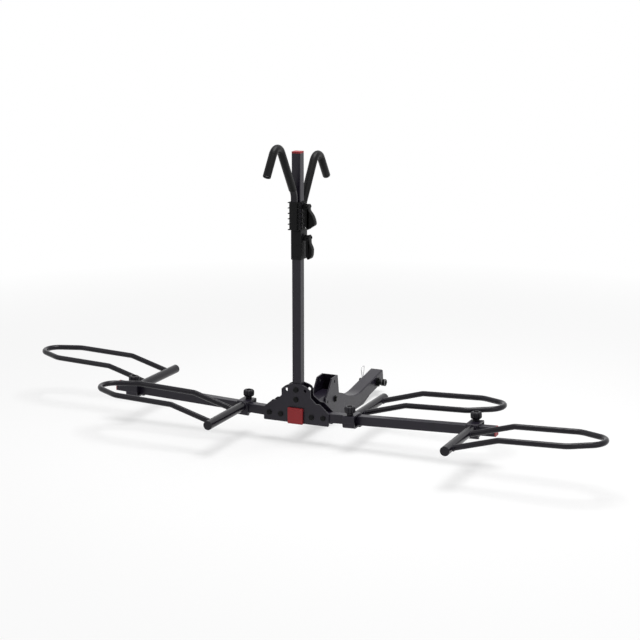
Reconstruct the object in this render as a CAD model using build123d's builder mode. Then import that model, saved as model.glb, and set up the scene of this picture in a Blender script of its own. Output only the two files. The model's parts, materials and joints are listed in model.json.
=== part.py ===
from build123d import *
from math import cos, sin, tan, radians, sqrt
import os

# Two-bike platform rack for a 2 inch receiver.
# Row frame: origin at the centre of the hitch pin hole, +Y into the receiver (towards the vehicle),
# +X to the right seen from behind the vehicle, +Z up, platform level and mast upright.
# Sizes are in millimetres and degrees.

# Shank and neck
shank_size = 50.8
shank_wall = 5.0
shank_climb = 8.5
shank_behind_pin = 216.0
shank_past_pin = 61.0
neck_drop = 20.0
neck_run = 176.0
neck_bend_radius = 280.0
hitch_pin_diameter = 15.88
hitch_pin_play = 0.3
hitch_pin_left = 47.0
hitch_pin_right = 50.0
pin_collar_diameter = 30.0
pin_collar_thickness = 4.0
pin_collar_gap = 1.0
pin_end_chamfer = 1.5
pin_wing_span = 34.0
pin_wing_width = 9.0
clip_wire = 2.6
clip_height = 52.0
clip_width = 24.0
clip_bow = 9.0
clip_inset = 10.0
clip_gap = 0.3
clip_bend_radius = 6.5
clip_overlap = 5.0
lock_body_diameter = 23.0
lock_body_length = 11.0
lock_rim_diameter = 27.0
lock_rim_length = 16.0
lock_rim_round = 2.5

# Tilt bracket: two ears and a back web folded from one plate, and the tilt pivot
plate = 5.0
ear_top = 83.0
ear_top_width = 50.0
ear_lap = 62.0
ear_foot_front = 86.0
ear_foot_bottom = 24.0
ear_foot_top = 24.5
ear_lap_drop = 53.0
ear_belly = 58.0
ear_shoulder = (-58.0, 43.5)
pivot_bolt_diameter = 12.0
pivot_head_across = 18.0
pivot_head_height = 7.0
pivot_nut_height = 9.0
pivot_bolt_tail = 3.0
pivot_to_neck_root = 32.0
pivot_above_neck_root = 10.3
pivot_sleeve_diameter = 20.0
tilt_angle_max = 80.0
lock_radius = 65.5
lock_angle = 4.5
tilt_pin_diameter = 10.5
tilt_pin_knob_diameter = 24.0
tilt_pin_knob_length = 16.0
tilt_pin_knob_chamfer = 2.0
tilt_pin_point = 1.0
pin_play = 0.3
bearing_play = 0.05
web_gap = 0.8

# Gusset: a channel under the neck, flush with its sides
gusset_sheet = 5.0
gusset_drop = 21.6
gusset_level_run = 98.4
gusset_level_past_bend = 78.0
gusset_past_bend = 138.0
gusset_bite = 2.0
gusset_toe = (28.6, -58.0)

# Spine
spine_size = 50.0
spine_wall = 3.0
spine_reach = 249.0
spine_tail = 18.0
spine_tail_chamfer = 12.0
spine_above_arms = 2.5
pivot_below_arms = 2.5
spine_nose = 6.0
spine_hole_diameter = 11.0
spine_hole_ahead_of_pivot = 98.0
spine_hole_rise = 4.0
cap_wall = 3.0
cap_skirt = 8.0
cap_corner = 2.0
cap_edge = 1.0

# Centre plates
arm_size = 31.75
arm_wall = 2.5
slide_gap = 0.3
plate_half_width = 122.7
plate_bottom = 23.6
plate_end_height = 21.0
plate_step_x = 89.0
plate_step_z = 50.8
plate_waist_x = 54.5
rear_plate_waist_x = 48.5
plate_waist_low = 70.5
plate_waist_high = 93.5
plate_shoulder_x = 41.5
plate_shoulder_z = 105.0
plate_crown_x = 14.0
plate_crown_z = 115.0
plate_corner = 4.0
fold_pivot_z = 93.7
fold_lock_radius = 34.3
fold_lock_diameter = 12.0
fold_angle_max = 88.0
bolt_diameter = 10.0
bolt_hole_play = 0.2
bolt_head_across = 16.0
bolt_head_height = 6.5
bolt_flange_diameter = 20.0
bolt_flange_thickness = 1.8
bolt_tail = 3.0
nut_across = 16.0
nut_height = 8.0

# Arms
arm_rise = 2.25
arm_reach = 715.0
arm_root = 31.0
arm_bolt_inner = 58.4
arm_bolt_outer = 102.0
end_cap_flange = 3.0
end_cap_plug = 12.0

# Mast
mast_size = 31.75
mast_wall = 2.5
mast_top = 914.0
mast_foot = 23.0
mast_cap_flange = 6.0

# Sliding heads
head_width = 37.0
head_gap = 2.0
upper_head_bottom = 651.0
upper_head_height = 95.0
upper_head_back = 21.0
upper_head_front = 30.0
lower_head_height = 101.0
lower_head_front = 18.6
head_face = 36.0
strip_width = 23.0
rib_count = 6
rib_thickness = 3.2
rib_stand = 3.5
head_chamfer = 2.5
stem_play = 0.2
stem_inset = 8.0
lever_width = 20.0
lug_thickness = 3.5
lug_gap = 0.4
lug_radius = 7.5
lever_pin_diameter = 5.0
lever_pin_out = 15.0
lever_edge = 1.8
upper_lever_profile = [
    (-7, 7), (6, 9), (7.5, -12), (20, -28), (25.5, -40), (29.1, -55), (27.5, -62), (10, -73),
    (2, -79), (-7, -64),
]
lower_lever_profile = [
    (-7, 9), (5.5, 11), (7, -17.5), (13.5, -31), (15.8, -39), (14.7, -58.5), (10.5, -68.5), (0, -74),
    (-7, -62),
]
upper_pin_drop = 18.0
lower_pin_drop = 29.0
upper_lever_back = 7.0
lower_lever_back = 14.0

# Hooks
stem_width = 22.0
stem_thickness = 8.0
stem_offset = 29.0
hook_rod_diameter = 12.0
sleeve_diameter = 27.0
sleeve_bore_play = 0.3
hook_bend_z = 772.0
hook_bend_radius = 40.0
hook_apex_out = 130.6
hook_apex_up = 198.4
hook_apex_radius = 38.5
hook_tip_out = 79.4
hook_tip_down = 113.4
hook_step = 56.0
sleeve_start = 21.0
sleeve_gap = 1.0
rod_in_stem = 3.0
rod_recess = 3.0

# Clamps, hoops and knobs
inner_clamp_at = 206.0
outer_clamp_inset = 77.0
clamp_width = 43.0
clamp_sheet = 6.0
clamp_front = 46.0
clamp_bend = 6.0
jaw_front_bend = 12.0
jaw_split = 2.5
toe_length = 8.0
knob_offset = 27.0
stud_diameter = 8.0
stud_hole_play = 0.5
weld_nut_across = 13.0
weld_nut_height = 6.5
cross_tube_diameter = 32.0
cross_tube_wall = 2.5
cross_tube_rise = 4.6
cross_tube_end = 283.0
rod_diameter = 19.0
rod_wall = 2.0
rod_inner_y = 72.2
rod_outer_y = 240.2
hoop_rise = 42.0
hoop_kink_at = 163.5
hoop_level_end = 385.3
hoop_nose_angle = 27.0
hoop_nose_radius = 54.4
hoop_bend_radius = 45.0
hoop_side_radius = 60.0
rod_sink = 4.0
knob_diameter = 38.0
knob_height = 24.0
knob_neck_diameter = 22.0
knob_neck_height = 7.0
knob_lobes = 8
knob_flute_diameter = 9.0
knob_gap = 0.3
knob_flute_out = 1.5
knob_dome = 2.5
knob_recess_diameter = 16.0
knob_recess_depth = 3.0

os.makedirs("parts", exist_ok=True)


def finish(builder, name):
    """Label a finished piece and write its STEP file."""
    builder.part.label = name
    export_step(builder.part, f"parts/{name}.step")


# Places worked out from the sizes above, in the row frame's Y and Z
climb = radians(shank_climb)
drop = radians(neck_drop)
neck_corner = (-shank_behind_pin * cos(climb), -shank_behind_pin * sin(climb))
neck_root = (neck_corner[0] - neck_run * cos(drop), neck_corner[1] + neck_run * sin(drop))
pivot_y = neck_root[0] - pivot_to_neck_root
pivot_z = neck_root[1] + pivot_above_neck_root
arm_y = pivot_y - spine_reach
arm_z = pivot_z + pivot_below_arms
spine_z = arm_z + spine_above_arms
rack = (0, arm_y, arm_z)
outer_clamp_at = arm_reach - outer_clamp_inset
bracket_half = shank_size / 2 + plate
plate_inner = arm_size / 2 + slide_gap
plate_outer = plate_inner + plate

side_view = Plane(origin=(0, 0, 0), x_dir=(0, 1, 0), z_dir=(1, 0, 0))
pivot_side = Plane(origin=(0, pivot_y, pivot_z), x_dir=(0, 1, 0), z_dir=(1, 0, 0))
rack_side = Plane(origin=rack, x_dir=(0, 1, 0), z_dir=(1, 0, 0))
rack_front = Plane(origin=rack, x_dir=(1, 0, 0), z_dir=(0, -1, 0))
rack_top = Plane(origin=rack, x_dir=(1, 0, 0), z_dir=(0, 0, 1))


def arm_plane(side, along=0.0):
    """Level plane of the right (1) or left (-1) arm: x runs outwards, z is the arm's up."""
    lift = radians(arm_rise)
    outwards = Vector(side * cos(lift), 0, sin(lift))
    upwards = Vector(-side * sin(lift), 0, cos(lift))
    return Plane(origin=Vector(*rack) + outwards * along, x_dir=outwards, z_dir=upwards)


def across(base, along=0.0):
    """Plane square to the base plane's x, whose own x and y are the base's y and z."""
    return Plane(origin=base.from_local_coords((along, 0, 0)), x_dir=base.y_dir, z_dir=base.x_dir)


def upright(base, out=0.0):
    """Plane with the base plane's x and z as its x and y, out along the base's y."""
    return Plane(origin=base.from_local_coords((0, out, 0)), x_dir=base.x_dir, z_dir=base.y_dir * -1)


def neck_point(along, above):
    """Row Y and Z of a point along the neck from its root and above its centre line."""
    return (
        neck_root[0] + along * cos(drop) + above * sin(drop),
        neck_root[1] - along * sin(drop) + above * cos(drop),
    )


# Neck and shank: one bent square tube

neck_bore = shank_size - 2 * shank_wall


def neck_bar(size, corner):
    """Square bar of a size along the neck and shank's bent centre line."""
    with BuildPart() as bar:
        with BuildLine(side_view) as neck_line:
            FilletPolyline(
                neck_root,
                neck_corner,
                (shank_past_pin * cos(climb), shank_past_pin * sin(climb)),
                radius=neck_bend_radius,
            )
        with BuildSketch(Plane(origin=neck_line.line @ 0, x_dir=(1, 0, 0), z_dir=neck_line.line % 0)):
            RectangleRounded(size, size, corner)
        sweep()
    return bar.part


with BuildPart() as neck_tube:
    add(neck_bar(shank_size, shank_wall))
    add(neck_bar(neck_bore, shank_wall / 2), mode=Mode.SUBTRACT)
    with BuildSketch(side_view):
        Circle(hitch_pin_diameter / 2 + hitch_pin_play)
    extrude(amount=shank_size, both=True, mode=Mode.SUBTRACT)
finish(neck_tube, "neck_tube")

# Gusset: two cheeks and a floor under the neck, open towards the tilt pivot

gusset_floor = neck_corner[1] - gusset_drop
gusset_heel = (neck_corner[0] - gusset_level_run, gusset_floor)
gusset_far = (neck_corner[0] + gusset_level_past_bend, gusset_floor)
gusset_tip_y = neck_corner[0] + gusset_past_bend
gusset_tip = (gusset_tip_y, gusset_tip_y * tan(climb) - shank_size / 2 / cos(climb) + gusset_bite)
gusset_top = (gusset_tip_y, gusset_tip_y * tan(climb))

with BuildPart() as neck_gusset:
    with BuildSketch(side_view):
        Polygon(
            neck_root, neck_point(0, -shank_size / 2), neck_point(*gusset_toe), gusset_heel,
            gusset_far, gusset_tip, gusset_top, neck_corner, align=None,
        )
    extrude(amount=shank_size / 2, both=True)
    with BuildSketch(side_view):
        Polygon(
            neck_root,
            neck_point(-shank_size, gusset_toe[1]),
            neck_point(gusset_toe[0], gusset_toe[1] + gusset_sheet),
            (gusset_heel[0], gusset_heel[1] + gusset_sheet),
            (gusset_far[0], gusset_far[1] + gusset_sheet),
            gusset_top,
            neck_corner,
            align=None,
        )
    extrude(amount=neck_bore / 2, both=True, mode=Mode.SUBTRACT)
    add(neck_bar(shank_size, shank_wall), mode=Mode.SUBTRACT)
finish(neck_gusset, "neck_gusset")

# Tilt bracket. The web's front face is where the spine's top comes to rest when stowed.

web_front = spine_size / 2 + spine_above_arms + pivot_below_arms + web_gap
web_back = web_front + plate
web_lean = radians(90 - tilt_angle_max)


def web_y(distance, height):
    """Y from the pivot of a point on the web's face at a height above the pivot."""
    return (distance - height * sin(web_lean)) / cos(web_lean)


neck_top_start = neck_point(4, shank_size / 2)
web_foot = neck_top_start[1] - pivot_z + 2
ear_outline = [
    (web_y(web_back, ear_top) - ear_top_width, ear_top - 2),
    (web_y(web_back, ear_top), ear_top),
    (web_y(web_back, web_foot), web_foot),
    tuple(a - b for a, b in zip(neck_point(16, shank_size / 2), (pivot_y, pivot_z))),
    tuple(a - b for a, b in zip(neck_point(ear_lap - 8, shank_size / 2), (pivot_y, pivot_z))),
    tuple(a - b for a, b in zip(neck_point(ear_lap, -shank_size / 2), (pivot_y, pivot_z))),
    tuple(a - b for a, b in zip(neck_point(ear_lap + 10, -ear_lap_drop), (pivot_y, pivot_z))),
    tuple(a - b for a, b in zip(neck_point(gusset_toe[0], -ear_belly), (pivot_y, pivot_z))),
    (-ear_foot_front + 12, -ear_foot_bottom),
    (-ear_foot_front, -ear_foot_bottom + 8),
    (-ear_foot_front + 2, ear_foot_top - 4),
    (-ear_foot_front + 10, ear_foot_top),
    ear_shoulder,
]
web_outline = [
    (web_y(web_front, ear_top), ear_top),
    (web_y(web_back, ear_top), ear_top),
    (web_y(web_back, web_foot), web_foot),
    (web_y(web_front, web_foot), web_foot),
]
stow_angle = radians(tilt_angle_max + lock_angle)
stow_hole = (-lock_radius * cos(stow_angle), lock_radius * sin(stow_angle))
lock_hole = (-lock_radius * cos(radians(lock_angle)), lock_radius * sin(radians(lock_angle)))

with BuildPart() as tilt_bracket:
    for cheek in (-1, 1):
        with BuildSketch(pivot_side.offset(cheek * (shank_size + plate) / 2)):
            Polygon(*ear_outline, align=None)
        extrude(amount=plate / 2, both=True)
    with BuildSketch(pivot_side):
        Polygon(*web_outline, align=None)
    extrude(amount=shank_size / 2, both=True)
    with BuildSketch(pivot_side):
        with Locations(stow_hole, lock_hole):
            Circle(tilt_pin_diameter / 2 + pin_play)
        Circle(pivot_bolt_diameter / 2 + bolt_hole_play)
    extrude(amount=bracket_half + 1, both=True, mode=Mode.SUBTRACT)
finish(tilt_bracket, "tilt_bracket")

with BuildPart() as pivot_bolt:
    with BuildSketch(pivot_side.offset(bracket_half)):
        RegularPolygon(pivot_head_across / 2 / cos(radians(30)), 6)
    extrude(amount=pivot_head_height)
    with BuildSketch(pivot_side):
        Circle(pivot_bolt_diameter / 2)
    extrude(amount=bracket_half, both=True)
    with BuildSketch(pivot_side.offset(-bracket_half)):
        Circle(pivot_bolt_diameter / 2)
    extrude(amount=-pivot_nut_height - pivot_bolt_tail)
finish(pivot_bolt, "pivot_bolt")

with BuildPart() as pivot_nut:
    with BuildSketch(pivot_side.offset(-bracket_half)):
        RegularPolygon(pivot_head_across / 2 / cos(radians(30)), 6)
        Circle(pivot_bolt_diameter / 2, mode=Mode.SUBTRACT)
    extrude(amount=-pivot_nut_height)
finish(pivot_nut, "pivot_nut")

tilt_pin_centre = Plane(
    origin=(0, pivot_y + lock_hole[0], pivot_z + lock_hole[1]), x_dir=(0, 1, 0), z_dir=(1, 0, 0)
)

with BuildPart() as tilt_pin:
    with BuildSketch(tilt_pin_centre.offset(-bracket_half)):
        Circle(tilt_pin_diameter / 2)
    extrude(amount=2 * bracket_half + tilt_pin_point)
    with BuildSketch(tilt_pin_centre.offset(-bracket_half - pin_play)):
        Circle(tilt_pin_knob_diameter / 2)
    extrude(amount=-tilt_pin_knob_length)
    chamfer(tilt_pin.faces().sort_by(Axis.X)[0].edges(), tilt_pin_knob_chamfer)
    chamfer(tilt_pin.faces().sort_by(Axis.X)[-1].edges(), tilt_pin_point)
    with BuildSketch(tilt_pin_centre.offset(-bracket_half)):
        Circle(tilt_pin_diameter / 2)
    extrude(amount=-tilt_pin_knob_chamfer)
finish(tilt_pin, "tilt_pin")

# Hitch pin, its lock and its spring clip

pin_hole_x = -hitch_pin_left + clip_inset
collar_foot = shank_size / 2 + pin_collar_gap
lock_foot = collar_foot + 2 * pin_collar_thickness

with BuildPart() as hitch_pin:
    with BuildSketch(side_view.offset(-hitch_pin_left)):
        Circle(hitch_pin_diameter / 2)
    extrude(amount=hitch_pin_left + hitch_pin_right)
    chamfer(hitch_pin.faces().sort_by(Axis.X)[0].edges(), pin_end_chamfer)
    with BuildSketch(side_view.offset(collar_foot)):
        Circle(pin_collar_diameter / 2)
    extrude(amount=pin_collar_thickness)
    with BuildSketch(side_view.offset(collar_foot + pin_collar_thickness)):
        Rectangle(pin_wing_span, pin_wing_width)
        Rectangle(pin_wing_width, pin_wing_span)
    extrude(amount=pin_collar_thickness)
    with BuildSketch(Plane.XY):
        with Locations((pin_hole_x, 0)):
            Circle(clip_wire / 2 + clip_gap)
    extrude(amount=hitch_pin_diameter, both=True, mode=Mode.SUBTRACT)
finish(hitch_pin, "hitch_pin")

with BuildPart() as hitch_lock:
    with BuildSketch(side_view.offset(lock_foot)):
        Circle(lock_body_diameter / 2)
    extrude(amount=lock_body_length)
    with BuildSketch(side_view.offset(lock_foot + lock_body_length)):
        Circle(lock_rim_diameter / 2)
    extrude(amount=lock_rim_length)
    fillet(hitch_lock.faces().sort_by(Axis.X)[-1].edges(), lock_rim_round)
    with BuildSketch(side_view):
        Circle(hitch_pin_diameter / 2)
    extrude(amount=hitch_pin_right, mode=Mode.SUBTRACT)
finish(hitch_lock, "hitch_lock")

clip_plane = Plane(origin=(pin_hole_x, 0, 0), x_dir=(0, 1, 0), z_dir=(1, 0, 0))
clip_leg_y = hitch_pin_diameter / 2 + clip_wire / 2 + clip_gap

with BuildPart() as hitch_clip:
    with BuildLine(clip_plane) as clip_line:
        FilletPolyline(
            (0, -hitch_pin_diameter / 2 - clip_overlap),
            (0, clip_height * 0.35),
            (-clip_bow, clip_height * 0.8),
            (0, clip_height),
            (clip_width, clip_height),
            (clip_leg_y, hitch_pin_diameter / 2 + 2),
            (clip_leg_y, -hitch_pin_diameter / 2 + 2),
            radius=clip_bend_radius,
        )
    with BuildSketch(Plane(origin=clip_line.line @ 0, z_dir=clip_line.line % 0)):
        Circle(clip_wire / 2)
    sweep()
finish(hitch_clip, "hitch_clip")

# Spine: square tube from the red front cap to the tilt pivot

spine_front = -plate_outer - spine_nose

with BuildPart() as spine_tube:
    with BuildSketch(Plane(origin=(0, arm_y + spine_front, spine_z), x_dir=(1, 0, 0), z_dir=(0, 1, 0))):
        RectangleRounded(spine_size, spine_size, spine_wall)
        RectangleRounded(
            spine_size - 2 * spine_wall, spine_size - 2 * spine_wall, spine_wall / 2, mode=Mode.SUBTRACT
        )
    extrude(amount=spine_reach + spine_tail - spine_front)
    tail_top = spine_z + spine_size / 2
    tail_end = arm_y + spine_reach + spine_tail
    with BuildSketch(side_view):
        Polygon(
            (tail_end - spine_tail_chamfer, tail_top),
            (tail_end, tail_top),
            (tail_end, tail_top - spine_tail_chamfer),
            align=None,
        )
    extrude(amount=spine_size, both=True, mode=Mode.SUBTRACT)
    with BuildSketch(pivot_side):
        Circle(pivot_sleeve_diameter / 2)
    extrude(amount=spine_size, both=True, mode=Mode.SUBTRACT)
    slot_half = tilt_pin_diameter / 2 + pin_play
    slot_depth = lock_hole[1] + pivot_z - (spine_z - spine_size / 2) + 1
    with BuildSketch(tilt_pin_centre):
        Circle(slot_half)
        Polygon(
            (-slot_half, 0),
            (slot_half, 0),
            (slot_half + 4, -slot_depth),
            (-slot_half - 1, -slot_depth),
            align=None,
        )
    extrude(amount=spine_size, both=True, mode=Mode.SUBTRACT)
    with BuildSketch(pivot_side):
        with Locations((-spine_hole_ahead_of_pivot, spine_hole_rise)):
            Circle(spine_hole_diameter / 2)
    extrude(amount=spine_size, mode=Mode.SUBTRACT)
finish(spine_tube, "spine_tube")

with BuildPart() as pivot_sleeve:
    with BuildSketch(pivot_side):
        Circle(pivot_sleeve_diameter / 2)
        Circle(pivot_bolt_diameter / 2 + bearing_play, mode=Mode.SUBTRACT)
    extrude(amount=spine_size / 2, both=True)
finish(pivot_sleeve, "pivot_sleeve")

cap_size = spine_size + 2 * cap_wall

with BuildPart() as spine_cap:
    cap_face = Plane(
        origin=(0, arm_y + spine_front - cap_wall, spine_z), x_dir=(1, 0, 0), z_dir=(0, 1, 0)
    )
    with BuildSketch(cap_face):
        RectangleRounded(cap_size, cap_size, cap_corner)
    extrude(amount=cap_skirt)
    fillet(spine_cap.faces().sort_by(Axis.Y)[0].edges(), cap_edge)
    with BuildSketch(cap_face.offset(cap_wall)):
        RectangleRounded(spine_size, spine_size, spine_wall)
    extrude(amount=cap_skirt, mode=Mode.SUBTRACT)
    with BuildSketch(cap_face.offset(cap_wall)):
        RectangleRounded(
            spine_size - 2 * spine_wall, spine_size - 2 * spine_wall, spine_wall / 2
        )
    extrude(amount=end_cap_plug)
finish(spine_cap, "spine_cap")

# Centre plates, front and rear alike, notched over the spine

bolts_on_arms = [
    arm_plane(side, along).origin for side in (-1, 1) for along in (arm_bolt_inner, arm_bolt_outer)
]
tie_z = fold_pivot_z - fold_lock_radius
bolt_spots = [(place.X, place.Z - arm_z) for place in bolts_on_arms]
bolt_spots += [(0, tie_z), (0, fold_pivot_z)]


def half_outline(waist):
    """Right half of a centre plate, with the half width of its waist."""
    return [
        (0, plate_crown_z + 0.6),
        (plate_crown_x, plate_crown_z),
        (plate_shoulder_x - 10, plate_crown_z - 5),
        (plate_shoulder_x, plate_shoulder_z),
        (waist, plate_waist_high),
        (waist, plate_waist_low),
        (plate_step_x - 14, plate_step_z),
        (plate_step_x, plate_step_z),
        (plate_half_width, plate_end_height),
        (plate_half_width, -plate_bottom),
        (spine_size / 2, -plate_bottom),
        (spine_size / 2, spine_above_arms + spine_size / 2),
        (0, spine_above_arms + spine_size / 2),
    ]


fold_lock_x = fold_lock_radius * cos(radians(90 - fold_angle_max))
fold_lock_z = fold_pivot_z - fold_lock_radius * sin(radians(90 - fold_angle_max))


def centre_plate(inner_y, outer_y, waist, name):
    """One centre plate between two distances from the arms' centre line."""
    middle = (inner_y + outer_y) / 2
    with BuildPart() as piece:
        with BuildSketch(rack_front.offset(-middle)):
            Polygon(*half_outline(waist), align=None)
            mirror(about=Plane.YZ)
        extrude(amount=plate / 2, both=True)
        corners = piece.edges().filter_by(Axis.Y).filter_by_position(
            Axis.Z, arm_z - plate_bottom - 1, arm_z + plate_shoulder_z
        )
        outer_corners = [edge for edge in corners if abs(edge.center().X) > spine_size / 2 + 1]
        fillet(outer_corners, plate_corner)
        with BuildSketch(rack_front.offset(-middle)):
            with Locations(*bolt_spots):
                Circle(bolt_diameter / 2 + bolt_hole_play)
            with Locations((-fold_lock_x, fold_lock_z), (fold_lock_x, fold_lock_z)):
                Circle(fold_lock_diameter / 2)
        extrude(amount=plate, both=True, mode=Mode.SUBTRACT)
    finish(piece, name)


centre_plate(-plate_outer, -plate_inner, plate_waist_x, "front_plate")
centre_plate(plate_inner, plate_outer, rear_plate_waist_x, "rear_plate")


with BuildPart() as plate_bolts:
    for spot_x, spot_z in bolt_spots:
        head_face_plane = rack_front.offset(plate_outer)
        with BuildSketch(head_face_plane):
            with Locations((spot_x, spot_z)):
                Circle(bolt_flange_diameter / 2)
        extrude(amount=bolt_flange_thickness)
        with BuildSketch(head_face_plane.offset(bolt_flange_thickness)):
            with Locations((spot_x, spot_z)):
                RegularPolygon(bolt_head_across / 2 / cos(radians(30)), 6)
        extrude(amount=bolt_head_height - bolt_flange_thickness)
        with BuildSketch(head_face_plane):
            with Locations((spot_x, spot_z)):
                Circle(bolt_diameter / 2)
        extrude(amount=-2 * plate_outer - nut_height - bolt_tail)
finish(plate_bolts, "plate_bolts")

with BuildPart() as plate_nuts:
    with BuildSketch(rack_front.offset(-plate_outer)):
        with Locations(*bolt_spots):
            RegularPolygon(nut_across / 2 / cos(radians(30)), 6)
        with Locations(*bolt_spots):
            Circle(bolt_diameter / 2, mode=Mode.SUBTRACT)
    extrude(amount=-nut_height)
finish(plate_nuts, "plate_nuts")

# Arms and their end caps

for side, hand in ((-1, "left"), (1, "right")):
    with BuildPart() as arm:
        with BuildSketch(across(arm_plane(side), arm_root)):
            RectangleRounded(arm_size, arm_size, arm_wall)
            RectangleRounded(
                arm_size - 2 * arm_wall, arm_size - 2 * arm_wall, arm_wall / 2, mode=Mode.SUBTRACT
            )
        extrude(amount=arm_reach - arm_root)
        with BuildSketch(upright(arm_plane(side))):
            with Locations((arm_bolt_inner, 0), (arm_bolt_outer, 0)):
                Circle(bolt_diameter / 2 + bolt_hole_play)
        extrude(amount=arm_size, both=True, mode=Mode.SUBTRACT)
    finish(arm, f"{hand}_arm")

with BuildPart() as arm_caps:
    for side in (-1, 1):
        with BuildSketch(across(arm_plane(side), arm_reach)):
            RectangleRounded(arm_size, arm_size, arm_wall)
        extrude(amount=end_cap_flange)
        with BuildSketch(across(arm_plane(side), arm_reach)):
            RectangleRounded(arm_size - 2 * arm_wall, arm_size - 2 * arm_wall, arm_wall / 2)
        extrude(amount=-end_cap_plug)
finish(arm_caps, "arm_caps")

# Mast: folds sideways about the top bolt between the centre plates

with BuildPart() as mast_tube:
    with BuildSketch(rack_top.offset(fold_pivot_z - mast_foot)):
        RectangleRounded(mast_size, mast_size, mast_wall)
        RectangleRounded(
            mast_size - 2 * mast_wall, mast_size - 2 * mast_wall, mast_wall / 2, mode=Mode.SUBTRACT
        )
    extrude(amount=mast_top - mast_cap_flange - fold_pivot_z + mast_foot)
    with BuildSketch(rack_front):
        with Locations((0, fold_pivot_z)):
            Circle(bolt_diameter / 2 + bearing_play)
    extrude(amount=mast_size, both=True, mode=Mode.SUBTRACT)
finish(mast_tube, "mast_tube")

with BuildPart() as mast_cap:
    with BuildSketch(rack_top.offset(mast_top - mast_cap_flange)):
        RectangleRounded(mast_size, mast_size, mast_wall)
    extrude(amount=mast_cap_flange)
    with BuildSketch(rack_top.offset(mast_top - mast_cap_flange)):
        RectangleRounded(mast_size - 2 * mast_wall, mast_size - 2 * mast_wall, mast_wall / 2)
    extrude(amount=-end_cap_plug)
finish(mast_cap, "mast_cap")

# Sliding heads. The upper one holds the front hook, the lower one the rear hook.

head_bore = mast_size + 2 * slide_gap
upper_head_top = upper_head_bottom + upper_head_height
lower_head_top = upper_head_bottom - head_gap
lower_head_bottom = lower_head_top - lower_head_height
lever_x = head_width / 2 + lever_pin_out
upper_pin_z = upper_head_top - upper_pin_drop
lower_pin_z = lower_head_top - lower_pin_drop
lug_inner = lever_width / 2 + lug_gap


def rectangle_between(low, high):
    """Sketch rectangle between two corners."""
    middle = ((low[0] + high[0]) / 2, (low[1] + high[1]) / 2)
    with Locations(middle):
        Rectangle(high[0] - low[0], high[1] - low[1])


def lever_lugs(pin_z, back):
    """Two lugs that carry a lever's pin on the right-hand side of a head, back from its middle."""
    with BuildPart() as lugs:
        for lug_side in (-1, 1):
            with BuildSketch(rack_front.offset(lug_side * (lug_inner + lug_thickness / 2) - back)):
                with Locations((lever_x, pin_z)):
                    Circle(lug_radius)
                rectangle_between(
                    (head_width / 2 - 1, pin_z - lug_radius), (lever_x, pin_z + lug_radius)
                )
            extrude(amount=lug_thickness / 2, both=True)
        with BuildSketch(rack_front.offset(-back)):
            with Locations((lever_x, pin_z)):
                Circle(lever_pin_diameter / 2)
        extrude(amount=lever_width, both=True, mode=Mode.SUBTRACT)
    return lugs.part


def bores(bottom, height, stem_side):
    """The mast's square bore and the hook stem's slot through a head, as a solid to cut away."""
    with BuildPart() as cutter:
        with BuildSketch(rack_top.offset(bottom)):
            Rectangle(head_bore, head_bore)
            with Locations((0, stem_side * stem_offset)):
                Rectangle(stem_width + 2 * stem_play, stem_thickness + 2 * stem_play)
        extrude(amount=height)
    return cutter.part


with BuildPart() as upper_head:
    with BuildSketch(rack_top.offset(upper_head_bottom)):
        rectangle_between((-head_width / 2, -upper_head_front), (head_width / 2, upper_head_back))
        rectangle_between((-strip_width / 2, -head_face), (strip_width / 2, 0))
    extrude(amount=upper_head_height)
    rib_pitch = (upper_head_height - rib_thickness) / (rib_count - 1)
    for rib in range(rib_count):
        with BuildSketch(rack_top.offset(upper_head_bottom + rib * rib_pitch)):
            rectangle_between(
                (-head_width / 2 - rib_stand, -head_face + 1), (head_width / 2, upper_head_back - 3)
            )
        extrude(amount=rib_thickness)
    add(lever_lugs(upper_pin_z, upper_lever_back))
    add(bores(upper_head_bottom, upper_head_height, -1), mode=Mode.SUBTRACT)
finish(upper_head, "upper_head")

with BuildPart() as lower_head:
    with BuildSketch(rack_top.offset(lower_head_bottom)):
        rectangle_between((-head_width / 2, -lower_head_front), (head_width / 2, head_face))
    extrude(amount=lower_head_height)
    chamfer(lower_head.faces().sort_by(Axis.Z)[-1].edges(), head_chamfer)
    chamfer(lower_head.edges().filter_by(Axis.Z), head_chamfer)
    add(lever_lugs(lower_pin_z, lower_lever_back))
    add(bores(lower_head_bottom, lower_head_height, 1), mode=Mode.SUBTRACT)
finish(lower_head, "lower_head")


def lever(outline, pin_z, back, name):
    """A release lever from its side profile, X and Z from its pin."""
    with BuildPart() as piece:
        with BuildSketch(rack_front.offset(-back)):
            with Locations((lever_x, pin_z)):
                Polygon(*outline, align=None)
        extrude(amount=lever_width / 2, both=True)
        long_edges = piece.edges().filter_by(Axis.Y)
        fillet(long_edges, lever_edge)
        with BuildSketch(rack_front.offset(-back)):
            with Locations((lever_x, pin_z)):
                Circle(lever_pin_diameter / 2 + bearing_play)
        extrude(amount=lever_width, both=True, mode=Mode.SUBTRACT)
    finish(piece, name)


lever(upper_lever_profile, upper_pin_z, upper_lever_back, "upper_lever")
lever(lower_lever_profile, lower_pin_z, lower_lever_back, "lower_lever")

for level_name, pin_z, back in (
    ("upper", upper_pin_z, upper_lever_back),
    ("lower", lower_pin_z, lower_lever_back),
):
    with BuildPart() as lever_pin:
        with BuildSketch(rack_front.offset(-back)):
            with Locations((lever_x, pin_z)):
                Circle(lever_pin_diameter / 2)
        extrude(amount=lug_inner + lug_thickness, both=True)
    finish(lever_pin, f"{level_name}_lever_pin")


# Hooks: a bent rod on a flat stem, with a soft sleeve over the rod

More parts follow.
